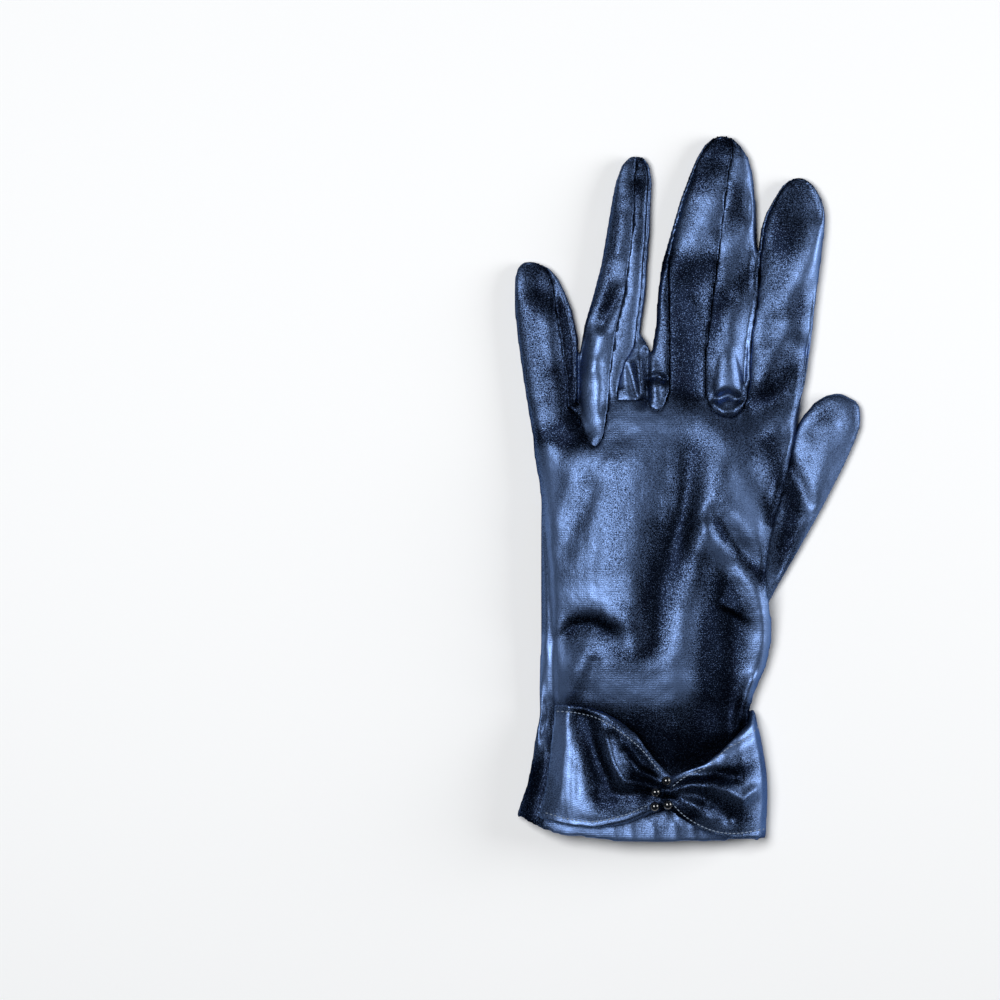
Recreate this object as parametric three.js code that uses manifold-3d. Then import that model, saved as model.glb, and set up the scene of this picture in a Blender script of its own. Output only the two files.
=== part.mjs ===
// Wrist length dress glove for the left hand, in thin satin, laid on its palm with the back up.
// Millimetres and degrees. The fingers point along +Y, the thumb side is +X, the back of the hand is +Z.
import * as THREE from "three";
import Module from "manifold-3d";

const wasm = await Module();
wasm.setup();

// Driving dimensions of the cloth
const WALL = 1.2; // thickness of the cloth with its seam allowances
const SEAM_GAP = 0.3; // space left between two panels at a seam
const CLEARANCE = 0.4; // space between two pieces that lie on each other
const SEAM_DEPTH = 0.6; // depth of the outside seam's groove

// Driving dimensions of the hand
const PALM_LENGTH = 147; // hem to the roots of the fingers
const PALM_WIDTH = 78; // across the flat palm
const PALM_HEIGHT = 16; // over the back of the hand
const EDGE_HEIGHT = 3; // height of the fold along each side
const HEM_DROP = 9; // how far the middle of the hem hangs below its corners
const PALM_SEAM_HEIGHT = 2.2; // height of the seam between a fourchette and the palm side
const THUMB_HEIGHT = 7;
const THUMB_MOUTH = 9; // distance from the thumb's root back to the seam that sets it in

// Driving dimensions of the bow band and its beads
const BAND_HEIGHT = 38.7; // cut height of the band at the outside seam
const BAND_PLACE = 18; // hem to the middle of the gather
const BAND_PUFF = 5; // how far the wings stand off the back of the hand
const BAND_TUCK = 16; // length of the band that lies under the palm side
const GATHER_DEPTH = 1.5; // depth of the gather's pleats
const BEAD_DIAMETER = 3.4;
const BEAD_BORE = 0.8;

// Fineness of the meshes
const TOP_SIDES = 16;
const UNDER_SIDES = 6;
const DIGIT_TOP_SIDES = 8;
const DIGIT_UNDER_SIDES = 4;
const PALM_STATIONS = 20;
const BAND_COLUMNS = 25;
const BAND_ROWS = 10;
const BEAD_SIDES = 10;
const BEAD_STEPS = 5;
const SECTION_STEPS = 120; // steps round the hand that the band follows
const REST_STEPS = 5; // places tried under a bead on each patch of the band, each way

// Sections of the hand from the hem up. at is a share of PALM_LENGTH, left and right of PALM_WIDTH,
// height of PALM_HEIGHT; overBand and overThumb are the shares of the band and of the thumb that the
// right side lies on there, from is where across the section that lift begins, and rounding bends the
// section like the roots' line.
const palmRows = [
  { at: -0.03, left: 0.65, right: 0.452, height: 0.78, overBand: 1, overThumb: 0, from: -0.2, rounding: 0 },
  { at: 0.067, left: 0.604, right: 0.452, height: 0.78, overBand: 1, overThumb: 0, from: -0.2, rounding: 0 },
  { at: 0.15, left: 0.553, right: 0.45, height: 0.78, overBand: 1, overThumb: 0, from: -0.2, rounding: 0 },
  { at: 0.245, left: 0.524, right: 0.424, height: 0.8, overBand: 1, overThumb: 0, from: -0.2, rounding: 0 },
  { at: 0.313, left: 0.501, right: 0.403, height: 0.83, overBand: 1, overThumb: 0, from: -0.2, rounding: 0 },
  { at: 0.367, left: 0.508, right: 0.444, height: 0.87, overBand: 0.4, overThumb: 0, from: -0.1, rounding: 0 },
  { at: 0.435, left: 0.501, right: 0.495, height: 0.93, overBand: 0, overThumb: 0.1, from: 0, rounding: 0 },
  { at: 0.517, left: 0.5, right: 0.503, height: 0.98, overBand: 0, overThumb: 0.45, from: 0.2, rounding: 0 },
  { at: 0.585, left: 0.5, right: 0.486, height: 1, overBand: 0, overThumb: 1, from: 0.27, rounding: 0 },
  { at: 0.653, left: 0.5, right: 0.483, height: 1, overBand: 0, overThumb: 1, from: 0.32, rounding: 0 },
  { at: 0.735, left: 0.5, right: 0.511, height: 1, overBand: 0, overThumb: 1, from: 0.35, rounding: 0 },
  { at: 0.816, left: 0.5, right: 0.552, height: 0.98, overBand: 0, overThumb: 1, from: 0.5, rounding: 0.05 },
  { at: 0.885, left: 0.517, right: 0.579, height: 0.95, overBand: 0, overThumb: 0.95, from: 0.62, rounding: 0.25 },
  { at: 0.952, left: 0.528, right: 0.6, height: 0.88, overBand: 0, overThumb: 0.75, from: 0.74, rounding: 0.55 },
  { at: 1.014, left: 0.534, right: 0.615, height: 0.76, overBand: 0, overThumb: 0.3, from: 0.8, rounding: 0.85 },
  { at: 1.068, left: 0.532, right: 0.62, height: 0.52, overBand: 0, overThumb: 0, from: 0.8, rounding: 1 },
];
const ROOT_LINE_TILT = 0.027; // rise of the roots' line towards the index finger, of PALM_LENGTH
const ROOT_LINE_ARCH = 0.082; // fall of its two ends, of PALM_LENGTH

// Sections of a digit. at is a share of its length from the root, left, right and the seams are
// shares of its width from its middle line, top is a share of its height.
const digitTable = (rows) =>
  rows.map(([at, left, right, top, seamLeft, seamRight]) => ({
    at,
    left,
    right,
    top,
    seamLeft,
    seamRight,
  }));

// x and y place the root as shares of PALM_WIDTH and PALM_LENGTH; lean shears the digit towards +X
// and turn swings it round its root towards +X.
const digits = {
  little: {
    x: -0.432, y: 0.898, length: 65.2, width: 20, height: 8.5, lean: -7.7, turn: 0,
    // at, left, right, top, seam left, seam right
    rows: digitTable([
      [-0.25, 0.28, 0.3, 0.9, -0.28, 0.28],
      [0, 0.335, 0.335, 1.05, -0.33, 0.32],
      [0.2, 0.37, 0.43, 1.02, -0.37, 0.29],
      [0.4, 0.385, 0.525, 1, -0.38, 0.34],
      [0.6, 0.39, 0.615, 0.96, -0.39, 0.34],
      [0.755, 0.375, 0.575, 0.9, -0.37, 0.33],
      [0.833, 0.34, 0.51, 0.85, -0.34, 0.33],
      [0.911, 0.3, 0.425, 0.78, -0.3, 0.31],
      [0.96, 0.25, 0.315, 0.68, -0.25, 0.25],
      [0.99, 0.175, 0.165, 0.52, -0.17, 0.13],
      [1, 0.08, 0.07, 0.4, -0.08, 0.05],
    ]),
  },
  ring: {
    x: -0.224, y: 0.993, length: 87.2, width: 17, height: 8.5, lean: 7.2, turn: 0,
    rows: digitTable([
      [-0.15, 0.5, 0.36, 1.1, 0.06, 0.3],
      [0, 0.5, 0.31, 1.1, 0.06, 0.25],
      [0.126, 0.6, 0.28, 1.06, 0.006, 0.21],
      [0.195, 0.63, 0.36, 1.04, 0.006, 0.29],
      [0.264, 0.62, 0.5, 1, 0.01, 0.43],
      [0.344, 0.605, 0.49, 1, 0.01, 0.42],
      [0.462, 0.5, 0.5, 0.98, 0.09, 0.43],
      [0.579, 0.42, 0.46, 0.95, 0.1, 0.39],
      [0.716, 0.39, 0.43, 0.9, 0.1, 0.36],
      [0.833, 0.365, 0.375, 0.84, 0.04, 0.31],
      [0.9, 0.34, 0.355, 0.76, 0, 0.29],
      [0.965, 0.26, 0.26, 0.64, 0, 0.2],
      [0.992, 0.15, 0.145, 0.5, 0, 0.1],
      [1, 0.07, 0.07, 0.4, 0, 0.05],
    ]),
  },
  middle: {
    x: 0.199, y: 1, length: 93, width: 32, height: 9.5, lean: 4.4, turn: 0,
    rows: digitTable([
      [-0.15, 0.42, 0.38, 1.1, -0.36, 0.065],
      [0, 0.42, 0.44, 1.1, -0.36, 0.065],
      [0.12, 0.5, 0.436, 1.06, -0.37, 0.01],
      [0.2, 0.575, 0.432, 1.03, -0.38, 0],
      [0.312, 0.545, 0.436, 1, -0.41, 0.015],
      [0.42, 0.553, 0.478, 0.98, -0.44, 0.035],
      [0.532, 0.535, 0.478, 0.96, -0.47, 0.055],
      [0.66, 0.456, 0.425, 0.92, -0.42, 0.07],
      [0.77, 0.388, 0.39, 0.88, -0.355, 0.085],
      [0.86, 0.31, 0.345, 0.82, -0.275, 0.094],
      [0.92, 0.25, 0.285, 0.74, -0.22, 0.12],
      [0.965, 0.18, 0.19, 0.64, -0.15, 0.12],
      [0.992, 0.1, 0.1, 0.5, -0.08, 0.07],
      [1, 0.05, 0.05, 0.38, -0.04, 0.03],
    ]),
  },
  index: {
    x: 0.501, y: 1, length: 78.8, width: 21.4, height: 9.2, lean: 6.8, turn: 0,
    rows: digitTable([
      [-0.2, 0.38, 0.34, 1, -0.38, 0.34],
      [-0.08, 0.43, 0.41, 1.32, -0.41, 0.41],
      [0.04, 0.455, 0.45, 1.42, -0.4, 0.45],
      [0.132, 0.477, 0.49, 1.42, -0.39, 0.49],
      [0.305, 0.51, 0.505, 1.22, -0.44, 0.5],
      [0.5, 0.477, 0.5, 1.04, -0.41, 0.5],
      [0.628, 0.49, 0.51, 0.98, -0.44, 0.51],
      [0.779, 0.49, 0.51, 0.92, -0.44, 0.51],
      [0.844, 0.444, 0.495, 0.88, -0.4, 0.49],
      [0.909, 0.34, 0.41, 0.78, -0.3, 0.41],
      [0.965, 0.235, 0.265, 0.64, -0.2, 0.26],
      [0.992, 0.13, 0.13, 0.5, -0.1, 0.13],
      [1, 0.06, 0.06, 0.38, -0.04, 0.06],
    ]),
  },
  thumb: {
    x: 0.377, y: 0.58, length: 75.1, width: 20.8, height: THUMB_HEIGHT, lean: 0, turn: 28.1,
    rows: digitTable([
      [-0.38, 0.57, 0.4, 1.25, 0, 0],
      [-0.12, 0.55, 0.46, 1.1, 0, 0],
      [0.1, 0.53, 0.45, 1, 0, 0],
      [0.3, 0.52, 0.476, 1, 0, 0],
      [0.5, 0.505, 0.49, 1, 0, 0],
      [0.7, 0.485, 0.481, 0.97, 0, 0],
      [0.83, 0.472, 0.455, 0.92, 0, 0],
      [0.91, 0.41, 0.415, 0.84, 0, 0],
      [0.96, 0.3, 0.33, 0.72, 0, 0],
      [0.988, 0.18, 0.25, 0.6, 0, 0],
      [1, 0.08, 0.17, 0.48, 0, 0],
    ]),
  },
};

// The crotch ends of the fourchettes, which bulge out over the back of the hand. They are digits
// that point towards the hem, so their left side lies towards +X.
const crotches = {
  tongue: {
    x: -0.265, y: 1.17, length: 37.2, width: 9.8, height: 12.4, lean: 0, turn: 180,
    rows: digitTable([
      [0, 0.4, 0.4, 0.45, 0, 0],
      [0.24, 0.5, 0.53, 0.85, 0, 0],
      [0.48, 0.43, 0.56, 0.97, 0, 0],
      [0.73, 0.35, 0.5, 1, 0, 0],
      [0.89, 0.26, 0.3, 0.92, 0, 0],
      [0.97, 0.15, 0.16, 0.76, 0, 0],
      [1, 0.05, 0.05, 0.6, 0, 0],
    ]),
  },
  small_knob: {
    x: -0.026, y: 1.13, length: 18.9, width: 6.8, height: 12.6, lean: 0, turn: 171.7,
    rows: digitTable([
      [0, 0.3, 0.06, 0.45, 0, 0],
      [0.35, 0.42, 0.3, 0.72, 0, 0],
      [0.6, 0.47, 0.47, 1, 0, 0],
      [0.8, 0.48, 0.48, 1, 0, 0],
      [0.94, 0.3, 0.3, 0.8, 0, 0],
      [1, 0.08, 0.08, 0.6, 0, 0],
    ]),
  },
  petal: {
    x: -0.08, y: 1.175, length: 22, width: 9, height: 8.5, lean: 0, turn: 175,
    rows: digitTable([
      [0, 0.1, 0.06, 0.4, 0, 0],
      [0.2, 0.34, 0.3, 0.7, 0, 0],
      [0.45, 0.5, 0.7, 0.92, 0, 0],
      [0.75, 0.5, 0.9, 1, 0, 0],
      [0.92, 0.42, 0.8, 1, 0, 0],
      [1, 0.3, 0.6, 0.8, 0, 0],
    ]),
  },
  large_knob: {
    x: 0.295, y: 1.184, length: 29.3, width: 13, height: 14.2, lean: 0, turn: 176.7,
    rows: digitTable([
      [0, 0.26, 0.24, 0.45, 0, 0],
      [0.35, 0.36, 0.36, 0.8, 0, 0],
      [0.6, 0.43, 0.43, 0.96, 0, 0],
      [0.8, 0.48, 0.5, 1, 0, 0],
      [0.93, 0.34, 0.36, 0.9, 0, 0],
      [0.985, 0.17, 0.18, 0.74, 0, 0],
      [1, 0.06, 0.06, 0.6, 0, 0],
    ]),
  },
};

// The main dents and folds of the back. x and y are shares of PALM_WIDTH and PALM_LENGTH, long and
// wide are half sizes as shares of PALM_WIDTH, turn is from +Y towards +X, rise is a share of PALM_HEIGHT.
const folds = [
  { name: "dent below the middle crotch", x: 0.15, y: 0.86, long: 0.17, wide: 0.09, turn: 0, rise: -0.21 },
  { name: "valley down the middle", x: 0.05, y: 0.66, long: 0.26, wide: 0.06, turn: 5, rise: -0.2 },
  { name: "ridge beside the valley", x: 0.18, y: 0.72, long: 0.3, wide: 0.05, turn: 14, rise: 0.16 },
  { name: "crease to the thumb", x: 0.36, y: 0.69, long: 0.16, wide: 0.05, turn: -40, rise: -0.12 },
  { name: "valley beside the band", x: 0.34, y: 0.5, long: 0.24, wide: 0.11, turn: 6, rise: -0.26 },
  { name: "crescent dent", x: -0.33, y: 0.53, long: 0.15, wide: 0.05, turn: 80, rise: -0.18 },
  { name: "streak at the left", x: -0.41, y: 0.83, long: 0.2, wide: 0.04, turn: 20, rise: -0.13 },
  { name: "fold over the band", x: -0.32, y: 0.37, long: 0.12, wide: 0.05, turn: 10, rise: 0.13 },
  { name: "swell of the palm", x: -0.1, y: 0.5, long: 0.3, wide: 0.16, turn: 0, rise: 0.1 },
];

// The hem's line. x is a share of PALM_WIDTH, up a share of HEM_DROP.
const hemRows = [
  { x: -0.72, up: 1.6 },
  { x: -0.6, up: 1 },
  { x: -0.517, up: 0.58 },
  { x: -0.417, up: 0.27 },
  { x: -0.195, up: 0.08 },
  { x: 0.02, up: 0 },
  { x: 0.324, up: 0.08 },
  { x: 0.442, up: 0.19 },
  { x: 0.49, up: 0.64 },
  { x: 0.6, up: 1.2 },
];

// The outside seam on the back. at is a share of PALM_LENGTH, inset a share of PALM_WIDTH from the side.
const seamRows = [
  { at: 0.0, inset: 0.105 },
  { at: 0.075, inset: 0.1 },
  { at: 0.15, inset: 0.085 },
  { at: 0.24, inset: 0.077 },
  { at: 0.34, inset: 0.064 },
  { at: 0.44, inset: 0.05 },
  { at: 0.56, inset: 0.04 },
  { at: 0.66, inset: 0.032 },
  { at: 0.74, inset: 0.012 },
];

// The bow band. across is 0 at the outside seam, 1 at the right edge of the hand and 2 at its end
// under the palm side; top and bottom are shares of BAND_HEIGHT from the gather's middle,
// puff is a share of BAND_PUFF.
const bandRows = [
  { across: 0, top: 0.755, bottom: -0.245, puff: 0 },
  { across: 0.07, top: 0.75, bottom: -0.28, puff: 0.5 },
  { across: 0.14, top: 0.74, bottom: -0.31, puff: 0.72 },
  { across: 0.265, top: 0.665, bottom: -0.33, puff: 0.85 },
  { across: 0.39, top: 0.51, bottom: -0.285, puff: 0.8 },
  { across: 0.47, top: 0.31, bottom: -0.21, puff: 0.62 },
  { across: 0.52, top: 0.175, bottom: -0.165, puff: 0.5 },
  { across: 0.57, top: 0.12, bottom: -0.15, puff: 0.5 },
  { across: 0.645, top: 0.18, bottom: -0.27, puff: 0.66 },
  { across: 0.75, top: 0.26, bottom: -0.38, puff: 0.85 },
  { across: 0.84, top: 0.42, bottom: -0.42, puff: 0.7 },
  { across: 0.94, top: 0.56, bottom: -0.434, puff: 0.4 },
  { across: 1.03, top: 0.7, bottom: -0.42, puff: 0.2 },
  { across: 1.3, top: 0.62, bottom: -0.39, puff: 0 },
  { across: 2, top: 0.6, bottom: -0.36, puff: 0 },
];
const GATHER_ACROSS = 0.54; // place of the gather along the band
const GATHER_SPREAD = 0.13; // how far its pleats run into the wings
const GATHER_PLEATS = 3;
const CROWN_EDGE = 0.45; // how far the wings' long edges stand off, as a share of their middle
const CROWN_POWER = 0.7; // how soon the wings rise from their long edges

// Places of the beads on the gather. across is along the band, up is a share of the way from its
// bottom edge to its top edge.
const beadRows = [
  { name: "bead_top", across: 0.54, up: 0.83 },
  { name: "bead_middle", across: 0.495, up: 0.42 },
  { name: "bead_left", across: 0.499, up: 0.12 },
  { name: "bead_right", across: 0.556, up: 0.1 },
];

// Colours and finish, from a black satin that shines blue
const satin = { color: 0x141f36, roughness: 0.42, metalness: 0.35 };
const glass = { color: 0x06070a, roughness: 0.08, metalness: 0 };

// Shape of a laid tube of cloth
const TOP_FULLNESS = 2.4; // exponent of the dome over the back
const UNDER_ROUND = 1.35; // how soon the underside reaches the floor
const UNDER_ROUND_POWER = 0.25;
const LIFT_SPREAD = 0.45; // breadth of the slope where the right side lies on the band or the thumb
const EDGE_SHIFT = 0.75; // how far a side fold moves up with the cloth's face, of its growth
const EDGE_SHARE = 0.42; // highest fold of a digit, as a share of its height
const TIP_HALF_WIDTH = 0.3; // least half width and rise of a digit, at its tip
const FINE_TIP = 0.7; // share of a digit's length up to which its inside takes every second section
const TIP_CLOSE = 0.02; // least distance between two sections of a digit, of its length

const radians = THREE.MathUtils.degToRad;
const mix = THREE.MathUtils.lerp;
const clamp = THREE.MathUtils.clamp;
const smoothstep = THREE.MathUtils.smoothstep;

// All columns of a table at one place, on smooth curves through its rows.
function rowAt(rows, key, place) {
  const last = rows.length - 1;
  let i = 0;
  while (i < last - 1 && place > rows[i + 1][key]) i += 1;
  const [a, b] = [rows[i], rows[i + 1]];
  const before = rows[Math.max(i - 1, 0)];
  const after = rows[Math.min(i + 2, last)];
  const span = b[key] - a[key];
  const t = clamp((place - a[key]) / span, 0, 1);
  const made = { [key]: place };
  for (const column of Object.keys(a)) {
    if (column === key || column === "name") continue;
    const slopeA = before === a ? 0 : (b[column] - before[column]) / (b[key] - before[key]);
    const slopeB = after === b ? 0 : (after[column] - a[column]) / (after[key] - a[key]);
    const [t2, t3] = [t * t, t * t * t];
    made[column] =
      (2 * t3 - 3 * t2 + 1) * a[column] +
      (t3 - 2 * t2 + t) * span * slopeA +
      (3 * t2 - 2 * t3) * b[column] +
      (t3 - t2) * span * slopeB;
  }
  return made;
}

// The faces of a flat end between two chains of point numbers that run the same way.
function endFaces(upper, lower, facesForward) {
  const faces = [];
  let [i, j] = [0, 0];
  while (i < upper.length - 1 || j < lower.length - 1) {
    const upperNext = (i + 1) / (upper.length - 1) <= (j + 1) / (lower.length - 1);
    const face = upperNext ? [upper[i], upper[i + 1], lower[j]] : [upper[i], lower[j + 1], lower[j]];
    if (upperNext) i += 1;
    else j += 1;
    if (new Set(face).size === 3) faces.push(...(facesForward ? face : face.reverse()));
  }
  return faces;
}

// A closed solid from rings of points. Each ring runs along its upper chain, which has upperCount
// points, and back along the lower one; where the two chains meet, the lower one leaves that point out.
function loft(rings, upperCount, chainsMeet) {
  const sides = rings[0].length;
  const points = rings.flat();
  const faces = [];
  for (let i = 0; i + 1 < rings.length; i += 1) {
    for (let j = 0; j < sides; j += 1) {
      const k = (j + 1) % sides;
      const [a, b] = [i * sides + j, i * sides + k];
      const [c, d] = [a + sides, b + sides];
      faces.push(a, b, c, b, d, c);
    }
  }
  for (const ring of [0, rings.length - 1]) {
    const numbers = rings[ring].map((_, j) => ring * sides + j);
    const upper = numbers.slice(0, upperCount);
    const lower = numbers.slice(upperCount).reverse();
    if (chainsMeet) {
      lower.unshift(upper[0]);
      lower.push(upper.at(-1));
    }
    faces.push(...endFaces(upper, lower, ring > 0));
  }
  return solidFrom(points, faces);
}

function solidFrom(points, faces) {
  return new wasm.Manifold(
    new wasm.Mesh({
      numProp: 3,
      vertProperties: new Float32Array(points.flatMap((p) => [p.x, p.y, p.z])),
      triVerts: new Uint32Array(faces),
    }),
  );
}

// A solid from one of three.js's own geometries, with its shared vertices merged by place.
function solidOf(geometry) {
  const position = geometry.getAttribute("position");
  const index = geometry.index ? [...geometry.index.array] : [...Array(position.count).keys()];
  const points = [];
  const seen = new Map();
  const merged = index.map((i) => {
    const point = new THREE.Vector3().fromBufferAttribute(position, i);
    const key = point.toArray().map((value) => Math.round(value * 1e4)).join();
    if (!seen.has(key)) seen.set(key, points.push(point) - 1);
    return seen.get(key);
  });
  const faces = [];
  for (let i = 0; i < merged.length; i += 3) {
    const [a, b, c] = merged.slice(i, i + 3);
    if (a !== b && b !== c && a !== c) faces.push(a, b, c);
  }
  return solidFrom(points, faces);
}

// A prism over an outline in the XY plane, between two heights.
function prism(outline, low, high) {
  const shape = new THREE.Shape(outline.map(([x, y]) => new THREE.Vector2(x, y)));
  const geometry = new THREE.ExtrudeGeometry(shape, { depth: high - low, bevelEnabled: false });
  return solidOf(geometry.translate(0, 0, low));
}

// Positions across a section, closer together near its two folds.
function acrossPlaces(count) {
  return Array.from({ length: count + 1 }, (_, i) => -Math.cos((Math.PI * i) / count));
}

// Height of the underside of a laid tube at s, from -1 at its left fold to 1 at its right fold.
function undersideHeight(s, base, floor) {
  const reach = Math.min(1, UNDER_ROUND * Math.max(0, 1 - s * s) ** UNDER_ROUND_POWER);
  return mix(base, floor, reach);
}

function domeHeight(s, base, height) {
  return base + (height - base) * Math.sqrt(Math.max(0, 1 - Math.abs(s) ** TOP_FULLNESS));
}

// Sum of the folds of the back at a point of the hand.
function foldHeight(x, y) {
  let rise = 0;
  for (const fold of folds) {
    const [dx, dy] = [x - fold.x * PALM_WIDTH, y - fold.y * PALM_LENGTH];
    const turn = radians(fold.turn);
    const along = (dx * Math.sin(turn) + dy * Math.cos(turn)) / (fold.long * PALM_WIDTH);
    const across = (dx * Math.cos(turn) - dy * Math.sin(turn)) / (fold.wide * PALM_WIDTH);
    rise += fold.rise * PALM_HEIGHT * Math.exp(-along * along - across * across);
  }
  return rise;
}

// One point of the hand's section at a row: s across it, on the back or on the underside,
// with the cloth moved out by grow.
function palmPoint(row, s, onBack, grow) {
  const left = -row.left * PALM_WIDTH - grow;
  const right = row.right * PALM_WIDTH + grow;
  const x = mix(left, right, (s + 1) / 2);
  const bend = ROOT_LINE_TILT * s - ROOT_LINE_ARCH * s * s;
  const y = (row.at + row.rounding * bend) * PALM_LENGTH;
  const rest = Math.max(row.overBand * (WALL + CLEARANCE), row.overThumb * (THUMB_HEIGHT + CLEARANCE));
  const lifted = rest * smoothstep(s, row.from, Math.min(row.from + LIFT_SPREAD, 1));
  const base = lifted + EDGE_HEIGHT + grow * EDGE_SHIFT;
  if (!onBack) return new THREE.Vector3(x, y, undersideHeight(s, base, lifted - grow));
  const dome = domeHeight(s, base, row.height * PALM_HEIGHT + grow);
  return new THREE.Vector3(x, y, dome + foldHeight(x, y) * (1 - s ** 4));
}

// The hand between two ends. The outer form and the hollow share the sections between their ends,
// so that the cloth between them keeps its thickness in every fold.
function palmSolid(grow, start, end) {
  const [firstAt, lastAt] = [palmRows[0].at, palmRows.at(-1).at];
  const stations = Array.from({ length: PALM_STATIONS + 1 }, (_, i) => i / PALM_STATIONS);
  const places = stations.map((share) => mix(firstAt, lastAt, share));
  const rings = [start, ...places.slice(1, -1), end].map((place) => {
    const row = rowAt(palmRows, "at", place);
    const back = acrossPlaces(TOP_SIDES).map((s) => palmPoint(row, s, true, grow));
    const under = acrossPlaces(UNDER_SIDES).slice(1, -1).reverse();
    return [...back, ...under.map((s) => palmPoint(row, s, false, grow))];
  });
  return loft(rings, TOP_SIDES + 1, true);
}

// The middle line of a digit at a share of its length.
function digitFrame(digit, at) {
  const turn = radians(digit.turn);
  const along = new THREE.Vector2(Math.sin(turn), Math.cos(turn));
  const side = new THREE.Vector2(along.y, -along.x);
  const root = new THREE.Vector2(digit.x * PALM_WIDTH, digit.y * PALM_LENGTH);
  const reach = at * digit.length;
  const shear = reach * Math.tan(radians(digit.lean));
  return { centre: root.addScaledVector(along, reach).addScaledVector(side, shear), side };
}

// A point in plan beside a digit's middle line.
function besideDigit(digit, at, offset) {
  const { centre, side } = digitFrame(digit, at);
  return centre.addScaledVector(side, offset);
}

// The digit's tube with its cloth moved out by grow, from one share of its length to its tip.
function digitSolid(digit, grow, start) {
  const edge = Math.min(EDGE_HEIGHT, digit.height * EDGE_SHARE) + grow * EDGE_SHIFT;
  const rowPlaces = digit.rows.map((row) => row.at).filter((at) => at > start + TIP_CLOSE);
  const coarse = rowPlaces.filter((at, i) => i % 2 === 1 || at > FINE_TIP);
  const places = [start, ...(grow < 0 ? coarse : rowPlaces)];
  const rings = places.map((place) => {
    const row = rowAt(digit.rows, "at", place);
    const at = place + (grow * clamp(place, 0, 1)) / digit.length;
    const left = Math.max(row.left * digit.width + grow, TIP_HALF_WIDTH);
    const right = Math.max(row.right * digit.width + grow, TIP_HALF_WIDTH);
    const top = Math.max(row.top * digit.height + grow, edge + TIP_HALF_WIDTH);
    const point = (s, z) => {
      const plan = besideDigit(digit, at, mix(-left, right, (s + 1) / 2));
      return new THREE.Vector3(plan.x, plan.y, z);
    };
    const back = acrossPlaces(DIGIT_TOP_SIDES).map((s) => point(s, domeHeight(s, edge, top)));
    const under = acrossPlaces(DIGIT_UNDER_SIDES).slice(1, -1).reverse();
    return [...back, ...under.map((s) => point(s, undersideHeight(s, edge, -grow)))];
  });
  return loft(rings, DIGIT_TOP_SIDES + 1, true);
}

const fingerNames = ["little", "ring", "middle", "index"];
const HIGH = 40; // above everything
const CROTCH_END = 0.7; // share of a crotch's length where its rounded end begins
const PAST_TIP = 2; // how far a seam's line runs on beyond the fingertip
const PAST_THUMB = 1.2; // reach of the cut in front of the thumb's mouth, as a share of the thumb
const HOLLOW_START = -0.06; // start of the hand's hollow below the hem, as a share of PALM_LENGTH
const GROOVE_CLEAR = 1; // how far the cut of the outside seam starts above the cloth
const BEAD_NEAR = 3; // how far round a bead it may touch the band, in bead diameters

// Outer corners of a fourchette's plan beyond the two fingertips, as shares of the fingers' widths
const FIRST_CORNER = 0.8;
const SECOND_CORNER = -0.5;

// The part of the thumb behind its mouth, or in front of it, as a box in plan along its middle line.
function thumbZone(startMm, endMm) {
  const { length, width } = digits.thumb;
  const corner = (mm, side) => {
    const plan = besideDigit(digits.thumb, mm / length, side * width);
    return [plan.x, plan.y];
  };
  return prism([corner(startMm, -1), corner(endMm, -1), corner(endMm, 1), corner(startMm, 1)], -HIGH, HIGH);
}

// The outer form of the cloth, and the hollow inside it.
function gloveForms() {
  const thumb = digits.thumb;
  const firstAt = palmRows[0].at;
  const lastAt = palmRows.at(-1).at;
  const hollowEnd = lastAt - WALL / PALM_LENGTH;
  const start = thumb.rows[0].at;
  const inFront = (gap) => thumbZone(-THUMB_MOUTH - gap, thumb.length * PAST_THUMB);
  const recess = digitSolid(thumb, CLEARANCE, start).intersect(inFront(0));
  const bulge = digitSolid(thumb, CLEARANCE + WALL, start).intersect(inFront(WALL));
  let outer = palmSolid(0, firstAt, lastAt);
  let hollow = palmSolid(-WALL, HOLLOW_START, hollowEnd);
  for (const name of fingerNames) {
    const from = digits[name].rows[0].at;
    outer = outer.add(digitSolid(digits[name], 0, from));
    hollow = hollow.add(digitSolid(digits[name], -WALL, from + WALL / digits[name].length));
  }
  for (const crotch of Object.values(crotches)) {
    outer = outer.add(digitSolid(crotch, 0, 0));
    hollow = hollow.add(digitSolid(crotch, -WALL, WALL / crotch.length));
  }
  const thumbRoot = digitSolid(thumb, 0, start).subtract(inFront(0));
  const thumbHollow = digitSolid(thumb, -WALL, start + WALL / thumb.length);
  const thumbTube = digitSolid(thumb, 0, start).intersect(inFront(-SEAM_GAP));
  return {
    outer: outer.subtract(recess).add(thumbRoot),
    hollow: hollow.subtract(bulge).add(thumbHollow),
    thumb: thumbTube.subtract(thumbHollow),
  };
}

// Everything below the hem's line.
function hemCut() {
  const line = hemRows.map((row) => [row.x * PALM_WIDTH, row.up * HEM_DROP]);
  return prism([[-PALM_WIDTH, -PALM_WIDTH], [PALM_WIDTH, -PALM_WIDTH], ...line.reverse()], -HIGH, HIGH);
}

// The points of a digit's seam from its crotch to its tip, moved sideways by shift.
function seamLine(digit, column, shift, from) {
  const places = digit.rows.map((row) => row.at).filter((at) => at > from);
  const line = [from, ...places].map((at) => {
    const row = rowAt(digit.rows, "at", at);
    return besideDigit(digit, at, row[column] * digit.width + shift).toArray();
  });
  const row = digit.rows.at(-1);
  const past = 1 + PAST_TIP / digit.length;
  return [...line, besideDigit(digit, past, row[column] * digit.width + shift).toArray()];
}

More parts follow.
